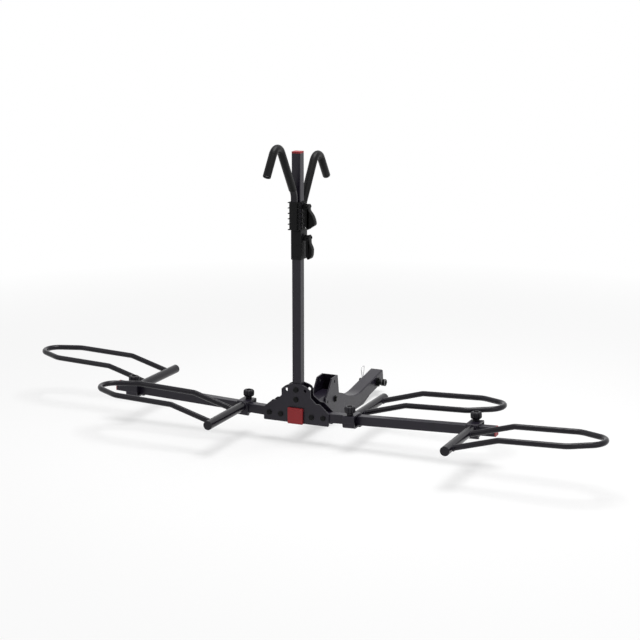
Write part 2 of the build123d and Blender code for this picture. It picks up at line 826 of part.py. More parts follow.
def hook(facing, step, name):
    """Front (-1) or rear (1) hook, lowered by step."""
    bend = (facing * stem_offset, hook_bend_z - step)
    apex = (bend[0] + facing * hook_apex_out, bend[1] + hook_apex_up)
    tip = (apex[0] + facing * hook_tip_out, apex[1] - hook_tip_down)
    tip_length = sqrt(hook_tip_out**2 + hook_tip_down**2)
    rod_share = 1 - rod_recess / tip_length
    rod_tip = (
        apex[0] + facing * hook_tip_out * rod_share,
        apex[1] - hook_tip_down * rod_share,
    )
    lean = (facing * sin(radians(hook_lean)), cos(radians(hook_lean)))
    stem_length = sleeve_start - sleeve_gap
    rod_start = stem_length - rod_in_stem
    stem_bottom = (upper_head_bottom if facing < 0 else lower_head_bottom) + stem_inset
    with BuildPart() as bar:
        with BuildLine(rack_side) as stem_line:
            FilletPolyline(
                (bend[0], stem_bottom),
                bend,
                (bend[0] + stem_length * lean[0], bend[1] + stem_length * lean[1]),
                radius=hook_bend_radius,
            )
        with BuildSketch(Plane(origin=stem_line.line @ 0, x_dir=(1, 0, 0), z_dir=stem_line.line % 0)):
            Rectangle(stem_width, stem_thickness)
        sweep()
        with BuildLine(rack_side) as rod_line:
            FilletPolyline(
                (bend[0] + rod_start * lean[0], bend[1] + rod_start * lean[1]),
                apex,
                rod_tip,
                radius=hook_apex_radius,
            )
        with BuildSketch(Plane(origin=rod_line.line @ 0, z_dir=rod_line.line % 0)):
            Circle(hook_rod_diameter / 2)
        sweep()
    finish(bar, f"{name}_hook_bar")

    with BuildPart() as sleeve:
        with BuildLine(rack_side) as sleeve_line:
            FilletPolyline(
                (bend[0] + sleeve_start * lean[0], bend[1] + sleeve_start * lean[1]),
                apex,
                tip,
                radius=hook_apex_radius,
            )
        with BuildSketch(Plane(origin=sleeve_line.line @ 0, z_dir=sleeve_line.line % 0)):
            Circle(sleeve_diameter / 2)
            Circle((hook_rod_diameter + sleeve_bore_play) / 2, mode=Mode.SUBTRACT)
        sweep()
    finish(sleeve, f"{name}_hook_sleeve")


hook_lean = Vector(0, 1).get_angle(Vector(hook_apex_out, hook_apex_up))
hook(-1, 0.0, "front")
hook(1, hook_step, "rear")


# Clamps, each with its cross tube, hoop and knob

def clamp(name, side, along, flip):
    """One wheel holder on an arm. Local y runs towards the hoop and is turned by flip."""
    base = arm_plane(side, along)
    end_view = across(base)
    half = clamp_width / 2
    arm_half = arm_size / 2 + slide_gap
    lid = arm_half + clamp_sheet

    def outline(points):
        return [(flip * y, z) for y, z in points]

    def bend(piece, y, z, radius):
        """Round the edge along the arm that passes through a point of the end view."""
        spot = end_view.from_local_coords((flip * y, z, 0))
        fillet(piece.edges().sort_by_distance(spot)[0], radius)

    with BuildPart() as upper_jaw:
        with BuildSketch(end_view):
            Polygon(*outline([
                (-clamp_front, lid), (lid, lid), (lid, -lid - clamp_sheet),
                (lid - toe_length - clamp_sheet, -lid - clamp_sheet),
                (lid - toe_length - clamp_sheet, -lid), (arm_half, -lid), (arm_half, arm_half),
                (-clamp_front + clamp_sheet, arm_half), (-clamp_front + clamp_sheet, -jaw_split),
                (-clamp_front, -jaw_split),
            ]), align=None)
        extrude(amount=half, both=True)
        bend(upper_jaw, -clamp_front, lid, clamp_bend)
        bend(upper_jaw, lid, lid, clamp_bend)
        bend(upper_jaw, lid, -lid - clamp_sheet, clamp_bend)
        with BuildSketch(base):
            with Locations((0, -flip * knob_offset)):
                Circle(stud_diameter / 2 + stud_hole_play)
        extrude(amount=2 * lid, mode=Mode.SUBTRACT)
    finish(upper_jaw, f"{name}_upper_jaw")

    with BuildPart() as lower_jaw:
        with BuildSketch(end_view):
            Polygon(*outline([
                (-clamp_front, -jaw_split), (-clamp_front, -lid), (arm_half, -lid),
                (arm_half, -arm_half), (-clamp_front + clamp_sheet, -arm_half),
                (-clamp_front + clamp_sheet, -jaw_split),
            ]), align=None)
        extrude(amount=half, both=True)
        bend(lower_jaw, -clamp_front, -lid, jaw_front_bend)
        bend(lower_jaw, -clamp_front + clamp_sheet, -arm_half, jaw_front_bend - clamp_sheet)
        with BuildSketch(base):
            with Locations((0, -flip * knob_offset)):
                Circle(stud_diameter / 2 + stud_hole_play)
        extrude(amount=-2 * lid, mode=Mode.SUBTRACT)
    finish(lower_jaw, f"{name}_lower_jaw")

    with BuildPart() as weld_nut:
        with BuildSketch(base.offset(-arm_half)):
            with Locations((0, -flip * knob_offset)):
                RegularPolygon(weld_nut_across / 2 / cos(radians(30)), 6)
                Circle(stud_diameter / 2 + bearing_play, mode=Mode.SUBTRACT)
        extrude(amount=weld_nut_height)
    finish(weld_nut, f"{name}_weld_nut")

    tube_radius = cross_tube_diameter / 2
    with BuildPart() as cross_tube:
        with BuildSketch(upright(base, flip * lid)):
            with Locations((0, cross_tube_rise)):
                Circle(tube_radius)
        extrude(amount=-flip * (cross_tube_end - lid))
        with BuildSketch(upright(base, flip * lid)):
            with Locations((0, cross_tube_rise)):
                Circle(tube_radius - cross_tube_wall)
        extrude(amount=-flip * (cross_tube_end - lid - cross_tube_wall), mode=Mode.SUBTRACT)
    finish(cross_tube, f"{name}_cross_tube")

    middle = (rod_inner_y + rod_outer_y) / 2
    half_gap = (rod_outer_y - rod_inner_y) / 2
    nose = radians(hoop_nose_angle)
    nose_centre = (hoop_level_end * sin(nose) + half_gap * cos(nose) - hoop_nose_radius) / sin(nose)
    nose_tip = nose_centre + hoop_nose_radius / sin(nose)
    with BuildPart() as hoop_rod:
        with BuildLine(base) as hoop_line:
            FilletPolyline(
                (tube_radius - rod_sink, flip * (middle - half_gap), cross_tube_rise),
                (hoop_kink_at, flip * (middle - half_gap), hoop_rise),
                (hoop_level_end, flip * (middle - half_gap), hoop_rise),
                (nose_tip, flip * middle, hoop_rise),
                (hoop_level_end, flip * (middle + half_gap), hoop_rise),
                (hoop_kink_at, flip * (middle + half_gap), hoop_rise),
                (tube_radius - rod_sink, flip * (middle + half_gap), cross_tube_rise),
                radius=[hoop_bend_radius, hoop_side_radius, hoop_nose_radius, hoop_side_radius,
                        hoop_bend_radius],
            )
        with BuildSketch(Plane(origin=hoop_line.line @ 0, z_dir=hoop_line.line % 0)):
            Circle(rod_diameter / 2)
            Circle(rod_diameter / 2 - rod_wall, mode=Mode.SUBTRACT)
        sweep()
        with BuildSketch(upright(base, flip * lid)):
            with Locations((0, cross_tube_rise)):
                Circle(tube_radius)
        extrude(amount=-flip * (cross_tube_end - lid), mode=Mode.SUBTRACT)
    finish(hoop_rod, f"{name}_hoop")

    knob_base = base.offset(lid + knob_gap)
    with BuildPart() as knob:
        with BuildSketch(knob_base):
            with Locations((0, -flip * knob_offset)):
                Circle(knob_neck_diameter / 2)
        extrude(amount=knob_neck_height)
        with BuildSketch(knob_base.offset(knob_neck_height)):
            with Locations((0, -flip * knob_offset)):
                Circle(knob_diameter / 2)
                with PolarLocations(knob_diameter / 2 + knob_flute_out, knob_lobes):
                    Circle(knob_flute_diameter / 2, mode=Mode.SUBTRACT)
        extrude(amount=knob_height)
        fillet(knob.faces().sort_by(Axis.Z)[-1].edges(), knob_dome)
        with BuildSketch(knob_base.offset(knob_neck_height + knob_height)):
            with Locations((0, -flip * knob_offset)):
                Circle(knob_recess_diameter / 2)
        extrude(amount=-knob_recess_depth, mode=Mode.SUBTRACT)
        with BuildSketch(knob_base):
            with Locations((0, -flip * knob_offset)):
                Circle(stud_diameter / 2)
        extrude(amount=knob_neck_height + knob_height / 2, mode=Mode.SUBTRACT)
    finish(knob, f"{name}_knob")

    with BuildPart() as stud:
        with BuildSketch(base.offset(-lid)):
            with Locations((0, -flip * knob_offset)):
                Circle(stud_diameter / 2)
        extrude(amount=2 * lid + knob_gap + knob_neck_height + knob_height / 2)
    finish(stud, f"{name}_knob_stud")


clamp("left_outer", -1, outer_clamp_at, -1)
clamp("left_inner", -1, inner_clamp_at, 1)
clamp("right_inner", 1, inner_clamp_at, 1)
clamp("right_outer", 1, outer_clamp_at, -1)

print("arm centre line from the hitch pin:", round(arm_y, 2), round(arm_z, 2))
print("tilt pivot:", round(pivot_y, 2), round(pivot_z, 2))
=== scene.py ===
import json
from math import atan2, cos, hypot, pi, radians, sin, tan

import bmesh
import bpy
from bpy.props import FloatProperty, FloatVectorProperty, IntProperty, PointerProperty
from mathutils import Matrix, Vector


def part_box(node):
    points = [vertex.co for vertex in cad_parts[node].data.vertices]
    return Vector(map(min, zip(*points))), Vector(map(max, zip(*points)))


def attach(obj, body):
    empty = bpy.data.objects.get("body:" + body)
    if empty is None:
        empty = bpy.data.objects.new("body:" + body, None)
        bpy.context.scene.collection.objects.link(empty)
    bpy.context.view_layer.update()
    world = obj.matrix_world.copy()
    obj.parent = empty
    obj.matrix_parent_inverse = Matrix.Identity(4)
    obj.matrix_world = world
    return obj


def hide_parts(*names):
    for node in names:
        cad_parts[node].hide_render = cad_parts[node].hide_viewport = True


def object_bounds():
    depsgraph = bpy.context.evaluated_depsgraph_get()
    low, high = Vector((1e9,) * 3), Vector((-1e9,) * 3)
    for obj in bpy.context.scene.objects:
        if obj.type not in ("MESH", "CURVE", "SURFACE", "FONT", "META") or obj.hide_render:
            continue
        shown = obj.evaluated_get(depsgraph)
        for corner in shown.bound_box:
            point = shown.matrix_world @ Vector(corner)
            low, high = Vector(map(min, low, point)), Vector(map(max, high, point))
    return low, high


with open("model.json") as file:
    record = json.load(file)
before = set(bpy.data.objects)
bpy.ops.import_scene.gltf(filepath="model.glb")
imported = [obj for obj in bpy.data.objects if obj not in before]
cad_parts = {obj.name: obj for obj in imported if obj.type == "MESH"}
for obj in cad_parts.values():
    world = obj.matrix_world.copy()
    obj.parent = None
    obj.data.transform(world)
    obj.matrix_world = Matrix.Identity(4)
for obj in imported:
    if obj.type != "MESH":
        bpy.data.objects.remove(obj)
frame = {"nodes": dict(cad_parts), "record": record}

bl_info = {
    "name": "Folding platform bike rack",
    "version": (1, 0, 0),
    "blender": (4, 5, 0),
    "location": "View3D > Sidebar > Bike rack",
    "description": "Dresses the bike rack's frame with finishes, sleeves, knobs, heads, fasteners and welds",
    "category": "Object",
}

CAD_BOX = [list(corner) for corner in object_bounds()]
ARM_RISE = radians(2.25)


def middle(node):
    """Centre of a node's box, in the row frame."""
    low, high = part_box(node)
    return (low + high) / 2


SPINE_ABOVE_ARMS = 0.0025
RACK = Vector((0.0, middle("mast_tube").y, middle("spine_tube").z - SPINE_ABOVE_ARMS))
PIVOT = Vector((0.0, middle("pivot_sleeve").y, middle("pivot_sleeve").z))
HOLDERS = {
    "left_outer": (-1, 638.0, 1),
    "left_inner": (-1, 206.0, -1),
    "right_inner": (1, 206.0, 1),
    "right_outer": (1, 638.0, -1),
}

# Places in millimetres, from the middle of the arms
PLATE_INNER = 16.175
PLATE_OUTER = 21.175
CLAMP_SHEET = 6.0
KNOB_OUT = 27.0
KNOB_GAP = 0.3
UPPER_BOTTOM = 651.0
UPPER_HEIGHT = 95.0
UPPER_RIBS = 6
RIB = 3.2
RIB_PITCH = (UPPER_HEIGHT - RIB) / (UPPER_RIBS - 1)
CAP_CLEARANCE = 0.3
HEAD_SIDE = 18.5
LEVER_PIN_OUT = 33.5
UPPER_LEVER = (728.0, 7.0)
LOWER_LEVER = (620.0, 14.0)


def at(x, y, z):
    """A point given in millimetres from the middle of the arms, in the row frame."""
    return RACK + Vector((x, y, z)) / 1000


def arm_axes(side):
    """The outward and upward directions of an arm."""
    return Vector((side * cos(ARM_RISE), 0, sin(ARM_RISE))), Vector((-side * sin(ARM_RISE), 0, cos(ARM_RISE)))


def on_arm(side, along, out=0.0, up=0.0):
    """A point in millimetres along an arm, out along Y and up from its centre line."""
    outwards, upwards = arm_axes(side)
    return RACK + (outwards * along + upwards * up + Vector((0, out, 0))) / 1000


# Settings

class StageSettings(bpy.types.PropertyGroup):
    """Where the rack is seen from and what it stands on."""

    look_at: FloatVectorProperty(
        name="Look at", description="Point that the camera looks at",
        default=(0.0604, -0.6129, 0.3729), unit="LENGTH")
    azimuth: FloatProperty(
        name="Azimuth", description="Camera's turn to the right of straight behind",
        default=radians(24.0), subtype="ANGLE")
    elevation: FloatProperty(
        name="Elevation", description="Camera's angle above level",
        default=radians(12.93), subtype="ANGLE")
    distance: FloatProperty(
        name="Distance", description="Camera's distance from the point it looks at",
        default=5.7739, unit="LENGTH")
    lens: FloatProperty(name="Lens", description="Focal length on a 36 mm sensor", default=94.86, min=10.0)
    floor: FloatProperty(
        name="Floor", description="Height of the floor under the rack",
        default=CAD_BOX[0][2] - 0.0005, unit="LENGTH")
    floor_tone: FloatProperty(
        name="Floor tone", description="How white the floor's own colour is", default=0.98, min=0.0, max=1.0)
    shadow: FloatProperty(
        name="Shadow", description="How much of the floor's shading the camera sees",
        default=0.42, min=0.0, max=1.0)


class FinishSettings(bpy.types.PropertyGroup):
    """Colours of the rack's finishes."""

    coat: FloatVectorProperty(
        name="Powder coat", description="Colour of the steel's coat",
        default=(0.0108, 0.0086, 0.0158), subtype="COLOR", min=0.0, max=1.0)
    # Lighter coat colour for the edges: partly rubbed wear, partly a painted highlight along them
    coat_edge_wear_and_highlight: FloatVectorProperty(
        name="Worn edge", description="Colour of the coat where its edges are rubbed",
        default=(0.085, 0.082, 0.09), subtype="COLOR", min=0.0, max=1.0)
    nylon: FloatVectorProperty(
        name="Nylon", description="Colour of the moulded heads, levers and knobs",
        default=(0.006, 0.006, 0.0064), subtype="COLOR", min=0.0, max=1.0)
    foam: FloatVectorProperty(
        name="Foam", description="Colour of the hook sleeves",
        default=(0.0035, 0.0035, 0.0038), subtype="COLOR", min=0.0, max=1.0)
    cap: FloatVectorProperty(
        name="Caps", description="Colour of the tube end caps",
        default=(0.29, 0.016, 0.02), subtype="COLOR", min=0.0, max=1.0)
    oxide: FloatVectorProperty(
        name="Black oxide", description="Colour of the black fasteners",
        default=(0.005, 0.005, 0.0055), subtype="COLOR", min=0.0, max=1.0)
    zinc: FloatVectorProperty(
        name="Zinc", description="Colour of the bright plated steel",
        default=(0.58, 0.58, 0.59), subtype="COLOR", min=0.0, max=1.0)


class SleeveSettings(bpy.types.PropertyGroup):
    """The foam sleeves on the frame hooks."""

    radius: FloatProperty(
        name="Radius", description="Outer radius of the foam", default=0.0135, unit="LENGTH")
    mouth: FloatProperty(name="Mouth", description="Radius of the open end", default=0.0092, unit="LENGTH")
    lip: FloatProperty(name="Lip", description="Rounding of the end's lip", default=0.0018, unit="LENGTH")
    segments: IntProperty(name="Segments", description="Sides of the sleeve", default=40, min=12)


class KnobSettings(bpy.types.PropertyGroup):
    """The clamp knobs."""

    radius: FloatProperty(name="Radius", description="Radius over the lobes", default=0.019, unit="LENGTH")
    height: FloatProperty(name="Height", description="Height above the clamp", default=0.031, unit="LENGTH")
    lobes: IntProperty(name="Lobes", description="Number of finger flutes", default=8, min=3)
    flute: FloatProperty(name="Flute", description="Depth of a finger flute", default=0.003, unit="LENGTH")


class HeadSettings(bpy.types.PropertyGroup):
    """The two sliding heads and their levers."""

    cell_depth: FloatProperty(name="Cell depth", description="Depth of the cells in the upper head",
                              default=0.0045, unit="LENGTH")
    lever_edge: FloatProperty(name="Lever edge", description="Rounding of the levers' edges",
                              default=0.0018, unit="LENGTH")


class FastenerSettings(bpy.types.PropertyGroup):
    """Bolts, nuts and weld beads."""

    across: FloatProperty(name="Across flats", description="Hexagon size of the plate bolts",
                          default=0.016, unit="LENGTH")
    flange: FloatProperty(name="Flange", description="Flange diameter of the plate bolts",
                          default=0.02, unit="LENGTH")
    bead: FloatProperty(name="Weld bead", description="Radius of a weld bead", default=0.0019, unit="LENGTH")
    ripple: FloatProperty(
        name="Ripple", description="Pitch of a weld's ripples", default=0.0026, unit="LENGTH")


# Finishes

def add_node(tree, kind, **inputs):
    """Add a shader node and set its inputs, by name with underscores for spaces."""
    node = tree.nodes.new(kind)
    for name, value in inputs.items():
        node.inputs[name.replace("_", " ")].default_value = value
    return node


def start_finish(name, roughness, metallic=0.0, gloss=0.5):
    """A new material with its tree, its shader and the object's own coordinates."""
    material = bpy.data.materials.new(name)
    material.use_nodes = True
    tree = material.node_tree
    shader = tree.nodes["Principled BSDF"]
    shader.inputs["Roughness"].default_value = roughness
    shader.inputs["Metallic"].default_value = metallic
    shader.inputs["Specular IOR Level"].default_value = gloss
    place = tree.nodes.new("ShaderNodeTexCoord").outputs["Object"]
    return material, tree, shader, place


def grain(tree, place, scale, detail=3.0, roughness=0.5, stretch=None):
    """Noise at a number of specks per metre, drawn out along an axis where stretch is given."""
    if stretch is not None:
        mapping = add_node(tree, "ShaderNodeMapping", Scale=stretch)
        tree.links.new(place, mapping.inputs["Vector"])
        place = mapping.outputs["Vector"]
    noise = add_node(tree, "ShaderNodeTexNoise", Scale=scale, Detail=detail, Roughness=roughness)
    tree.links.new(place, noise.inputs["Vector"])
    return noise.outputs["Fac"]


def spread(tree, value, low, high, start=0.3, end=0.7):
    """Map a noise value onto a range."""
    node = tree.nodes.new("ShaderNodeMapRange")
    for name, number in (("From Min", start), ("From Max", end), ("To Min", low), ("To Max", high)):
        node.inputs[name].default_value = number
    tree.links.new(value, node.inputs["Value"])
    return node.outputs["Result"]


def blend_colours(tree, factor, first, second):
    """Mix two colours, each a tuple or a socket, by a factor."""
    node = tree.nodes.new("ShaderNodeMix")
    node.data_type = "RGBA"
    tree.links.new(factor, node.inputs["Factor"])
    for socket, colour in ((node.inputs[6], first), (node.inputs[7], second)):
        if hasattr(colour, "is_output"):
            tree.links.new(colour, socket)
        else:
            socket.default_value = (*colour, 1.0)
    return node.outputs[2]


def tinted(colour, amount):
    """A colour made lighter or darker by a share."""
    return tuple(min(1.0, part * amount) for part in colour)


def rounded_normal(tree, radius):
    """Softened normal and a mask of the edges it softens."""
    soft = tree.nodes.new("ShaderNodeBevel")
    soft.samples = 6
    soft.inputs["Radius"].default_value = radius
    geometry = tree.nodes.new("ShaderNodeNewGeometry")
    alike = tree.nodes.new("ShaderNodeVectorMath")
    alike.operation = "DOT_PRODUCT"
    tree.links.new(soft.outputs["Normal"], alike.inputs[0])
    tree.links.new(geometry.outputs["Normal"], alike.inputs[1])
    edge = spread(tree, alike.outputs["Value"], 1.0, 0.0, 0.86, 0.985)
    return soft.outputs["Normal"], edge


def bumped(tree, shader, height, strength, distance, normal=None):
    """Give a shader a bump, over a softened normal where there is one."""
    bump = add_node(tree, "ShaderNodeBump", Strength=strength, Distance=distance)
    tree.links.new(height, bump.inputs["Height"])
    if normal is not None:
        tree.links.new(normal, bump.inputs["Normal"])
    tree.links.new(bump.outputs["Normal"], shader.inputs["Normal"])


def powder_coat(name, colour, edge_wear_and_highlight, roughness=0.33, gloss=0.3, edge_radius=0.0012):
    """Semi-matte coat with a fine orange peel, cloudy tone, and lighter edges that are partly rubbed wear and
    partly a painted highlight.
    """
    material, tree, shader, place = start_finish(name, roughness, gloss=gloss)
    normal, edge = rounded_normal(tree, edge_radius)
    cloud = grain(tree, place, 11.0, 5.0)
    base = blend_colours(tree, spread(tree, cloud, 0.0, 1.0), tinted(colour, 0.86), tinted(colour, 1.16))
    # Edges go towards the lighter colour in patches: partly rubbed wear, partly a painted highlight
    rubbed_and_highlit = tree.nodes.new("ShaderNodeMath")
    rubbed_and_highlit.operation = "MULTIPLY"
    tree.links.new(edge, rubbed_and_highlit.inputs[0])
    tree.links.new(spread(tree, grain(tree, place, 55.0, 4.0), 0.15, 0.8), rubbed_and_highlit.inputs[1])
    base = blend_colours(tree, rubbed_and_highlit.outputs["Value"], base, edge_wear_and_highlight)
    tree.links.new(base, shader.inputs["Base Color"])
    tree.links.new(spread(tree, grain(tree, place, 320.0, 2.0), roughness - 0.05, roughness + 0.05),
                   shader.inputs["Roughness"])
    bumped(tree, shader, grain(tree, place, 1150.0, 2.5), 0.22, 0.0004, normal)
    return material


def moulded(name, colour, roughness=0.5, gloss=0.12, edge_radius=0.0008, scale=2600.0):
    """Moulded plastic with a fine spark grain, faint scuffs and a painted highlight along its edges."""
    material, tree, shader, place = start_finish(name, roughness, gloss=gloss)
    normal, edge = rounded_normal(tree, edge_radius)
    scuffs = spread(tree, grain(tree, place, 90.0, 6.0, 0.65, (1.0, 1.0, 3.0)), 0.0, 0.5, 0.55, 0.75)
    base = blend_colours(tree, scuffs, tinted(colour, 0.92), tinted(colour, 1.35))
    # Edges lighter by the bevel mask: a painted highlight
    base = blend_colours(tree, spread(tree, edge, 0.0, 0.35, 0.0, 1.0), base, tinted(colour, 2.4))
    tree.links.new(base, shader.inputs["Base Color"])
    tree.links.new(spread(tree, grain(tree, place, 240.0, 3.0), roughness - 0.06, roughness + 0.08),
                   shader.inputs["Roughness"])
    bumped(tree, shader, grain(tree, place, scale, 2.0), 0.3, 0.00015, normal)
    return material


def closed_foam(name, colour):
    """Closed-cell foam: soft skin with pores and dents."""
    material, tree, shader, place = start_finish(name, 0.4, gloss=0.14)
    cloud = grain(tree, place, 38.0, 5.0)
    base = blend_colours(tree, spread(tree, cloud, 0.0, 1.0), tinted(colour, 0.8), tinted(colour, 1.45))
    tree.links.new(base, shader.inputs["Base Color"])
    pores = add_node(tree, "ShaderNodeTexVoronoi", Scale=950.0)
    tree.links.new(place, pores.inputs["Vector"])
    height = tree.nodes.new("ShaderNodeMath")
    height.operation = "MULTIPLY_ADD"
    tree.links.new(pores.outputs["Distance"], height.inputs[0])
    height.inputs[1].default_value = 0.35
    tree.links.new(grain(tree, place, 160.0, 3.0), height.inputs[2])
    tree.links.new(spread(tree, cloud, 0.33, 0.45), shader.inputs["Roughness"])
    bumped(tree, shader, height.outputs["Value"], 0.2, 0.0005)
    return material


def plated(name, colour, roughness, metallic=1.0, gloss=0.5, edge_radius=0.0004):
    """Plated or blackened steel with fine draw marks, a cloudy shine and a painted highlight along its edges.
    """
    material, tree, shader, place = start_finish(name, roughness, metallic, gloss)
    normal, edge = rounded_normal(tree, edge_radius)
    cloud = grain(tree, place, 70.0, 4.0)
    base = blend_colours(tree, spread(tree, cloud, 0.0, 1.0), tinted(colour, 0.82), tinted(colour, 1.12))
    # Edges lighter by the bevel mask: a painted highlight
    base = blend_colours(tree, spread(tree, edge, 0.0, 0.5, 0.0, 1.0), base, tinted(colour, 1.6))
    tree.links.new(base, shader.inputs["Base Color"])
    tree.links.new(spread(tree, cloud, roughness - 0.07, roughness + 0.1), shader.inputs["Roughness"])
    bumped(tree, shader, grain(tree, place, 900.0, 2.0, 0.5, (0.15, 1.0, 1.0)), 0.16, 0.0001, normal)
    return material


def weld_metal(name, colour):
    """Coated weld bead: a little rougher and shinier than the sheet beside it."""
    material, tree, shader, place = start_finish(name, 0.34, gloss=0.3)
    cloud = grain(tree, place, 260.0, 4.0)
    base = blend_colours(tree, spread(tree, cloud, 0.0, 1.0), tinted(colour, 0.8), tinted(colour, 1.5))
    tree.links.new(base, shader.inputs["Base Color"])
    tree.links.new(spread(tree, cloud, 0.28, 0.42), shader.inputs["Roughness"])
    bumped(tree, shader, grain(tree, place, 700.0, 3.0), 0.3, 0.0004)
    return material


def finish(name):
    """A finish by name, made on first use."""
    if name in bpy.data.materials:
        return bpy.data.materials[name]
    colours = bpy.context.scene.rack_finishes
    makers = {
        "powder_coat": lambda: powder_coat(name, colours.coat, colours.coat_edge_wear_and_highlight),
        "powder_coat_tube": lambda: powder_coat(name, colours.coat, colours.coat_edge_wear_and_highlight, edge_radius=0.002),
        # Rods and hoops: the same coat, glossier, in a darker copy that is painted shade
        "powder_coat_rod_painted_shade": lambda: powder_coat(
            name, tinted(colours.coat, 0.55), colours.coat_edge_wear_and_highlight, 0.2, 0.24, 0.002),
        "nylon": lambda: moulded(name, colours.nylon, 0.46),
        # Much darker nylon, laid only in recesses and holes: painted shade
        "nylon_painted_shade": lambda: moulded(name, tinted(colours.nylon, 0.35), 0.7, 0.05),
        "nylon_cheek": lambda: moulded(name, tinted(colours.nylon, 0.8), 0.55, 0.1),
        "knob_plastic": lambda: moulded(name, tinted(colours.coat, 0.5), 0.3, 0.26),
        "cap_plastic": lambda: moulded(name, colours.cap, 0.42, 0.3, 0.001, 1900.0),
        "foam": lambda: closed_foam(name, colours.foam),
        # Darker copy of the foam for inside the bore: painted shade
        "foam_bore_painted_shade": lambda: closed_foam(name, tinted(colours.foam, 0.3)),
        "dark_oxide": lambda: plated(name, colours.oxide, 0.27, 0.3, 0.15),
        "zinc": lambda: plated(name, colours.zinc, 0.3),
        "dull_zinc": lambda: plated(name, tinted(colours.zinc, 0.22), 0.4),
        "weld": lambda: weld_metal(name, colours.coat),
    }
    return makers[name]()


SLOT_FINISH = {
    "black_powder_coat": "powder_coat",
    "red_plastic": "cap_plastic",
    "black_nylon": "nylon",
    "foam_rubber": "foam",
    "black_oxide": "dark_oxide",
    "zinc_steel": "zinc",
}


# Mesh helpers

def box_between(bm, low, high):
    """Add a box between two corners and return its vertices."""
    low, high = Vector(low), Vector(high)
    verts = bmesh.ops.create_cube(bm, size=1.0)["verts"]
    bmesh.ops.scale(bm, vec=high - low, verts=verts)
    bmesh.ops.translate(bm, vec=(low + high) / 2, verts=verts)
    return verts


def soften(bm, width, segments=2, angle=radians(30), faces=None):
    """Round the edges of a shape that are sharper than an angle."""
    edges = [e for e in bm.edges if len(e.link_faces) == 2 and e.calc_face_angle(0.0) > angle]
    if faces is not None:
        edges = [e for e in edges if any(f in faces for f in e.link_faces)]
    bmesh.ops.bevel(bm, geom=edges, offset=width, offset_type="OFFSET", affect="EDGES",
                    segments=segments, profile=0.5, clamp_overlap=True, material=-1)


def turned(bm, profile, segments=48):
    """Spin a profile of radius and height about Z into a closed shape."""
    verts = [bm.verts.new((radius, 0.0, height)) for radius, height in profile]
    edges = [bm.edges.new(pair) for pair in zip(verts, verts[1:])]
    bmesh.ops.spin(bm, geom=verts + edges, cent=(0, 0, 0), axis=(0, 0, 1), dvec=(0, 0, 0),
                   angle=2 * pi, steps=segments, use_merge=True, use_duplicate=False)
    bmesh.ops.remove_doubles(bm, verts=bm.verts[:], dist=1e-6)
    bmesh.ops.recalc_face_normals(bm, faces=bm.faces[:])


def placed(target, part, matrix):
    """Add a copy of a shape to another, moved by a matrix, and keep its material numbers."""
    copy = bpy.data.meshes.new("placed")
    part.to_mesh(copy)
    copy.transform(matrix)
    if matrix.determinant() < 0:
        copy.flip_normals()
    target.from_mesh(copy)
    bpy.data.meshes.remove(copy)


def frame_at(origin, x, z):
    """Matrix with its X and Z along two directions, at a point."""
    x, z = Vector(x).normalized(), Vector(z).normalized()
    y = z.cross(x)
    matrix = Matrix((x, y, z)).transposed().to_4x4()
    matrix.translation = Vector(origin)
    return matrix


def pushed(bm, edges, offset=(0, 0, 0), centre=None, scale=1.0):
    """Extrude a ring of edges, then scale it about a centre and move it."""
    made = bmesh.ops.extrude_edge_only(bm, edges=edges)["geom"]
    verts = {item for item in made if isinstance(item, bmesh.types.BMVert)}
    if centre is not None:
        bmesh.ops.scale(bm, vec=(scale,) * 3, space=Matrix.Translation(-Vector(centre)), verts=list(verts))
    bmesh.ops.translate(bm, vec=offset, verts=list(verts))
    return [item for item in made if isinstance(item, bmesh.types.BMEdge) and set(item.verts) <= verts]


def swept(bm, corners, bends, radius, sides=24, steps=10):
    """Sweep a circle along straight runs joined by arcs, and return its first and last rings of edges."""
    corners = [Vector(corner) for corner in corners]
    heading = (corners[1] - corners[0]).normalized()
    matrix = heading.to_track_quat("Z", "Y").to_matrix().to_4x4()
    matrix.translation = corners[0]
    circle = bmesh.ops.create_circle(bm, cap_ends=False, segments=sides, radius=radius, matrix=matrix)
    ring = set(circle["verts"])
    edges = first = [edge for edge in bm.edges if set(edge.verts) <= ring]
    here = corners[0]
    for corner, after, bend in zip(corners[1:], corners[2:], bends):
        leaving = (after - corner).normalized()
        turn = heading.angle(leaving)
        setback = bend * tan(turn / 2)
        edges = pushed(bm, edges, corner - heading * setback - here)
        axis = heading.cross(leaving).normalized()
        centre = corner - heading * setback + axis.cross(heading) * bend
        made = bmesh.ops.spin(bm, geom=edges, cent=centre, axis=axis, dvec=(0, 0, 0), angle=turn,
                              steps=steps, use_merge=False, use_duplicate=False)["geom_last"]
        edges = [item for item in made if isinstance(item, bmesh.types.BMEdge)]
        here = corner + leaving * setback
        heading = leaving
    return first, pushed(bm, edges, corners[-1] - here)


def bead_ring(bm, matrix, radius, saddle=0.0):
    """Add a rippled weld bead round a circle, bent over a tube of the saddle's radius."""
    settings = bpy.context.scene.rack_fasteners
    ripples = max(8, round(2 * pi * radius / settings.ripple))
    part = bmesh.new()
    bmesh.ops.create_circle(part, cap_ends=False, segments=8, radius=settings.bead,
                            matrix=Matrix.Translation((radius, 0, 0)) @ Matrix.Rotation(pi / 2, 4, "X"))
    bmesh.ops.spin(part, geom=part.verts[:] + part.edges[:], cent=(0, 0, 0), axis=(0, 0, 1), dvec=(0, 0, 0),
                   angle=2 * pi, steps=ripples * 3, use_merge=True, use_duplicate=False)
    bmesh.ops.remove_doubles(part, verts=part.verts[:], dist=1e-6)
    for vert in part.verts:
        angle = atan2(vert.co.y, vert.co.x)
        core = Vector((cos(angle), sin(angle), 0)) * radius
        vert.co = core + (vert.co - core) * (1 + 0.16 * cos(ripples * angle))
        if saddle:
            vert.co.z -= saddle - (saddle ** 2 - core.x ** 2) ** 0.5
    bmesh.ops.recalc_face_normals(part, faces=part.faces[:])
    placed(bm, part, matrix)
    part.free()


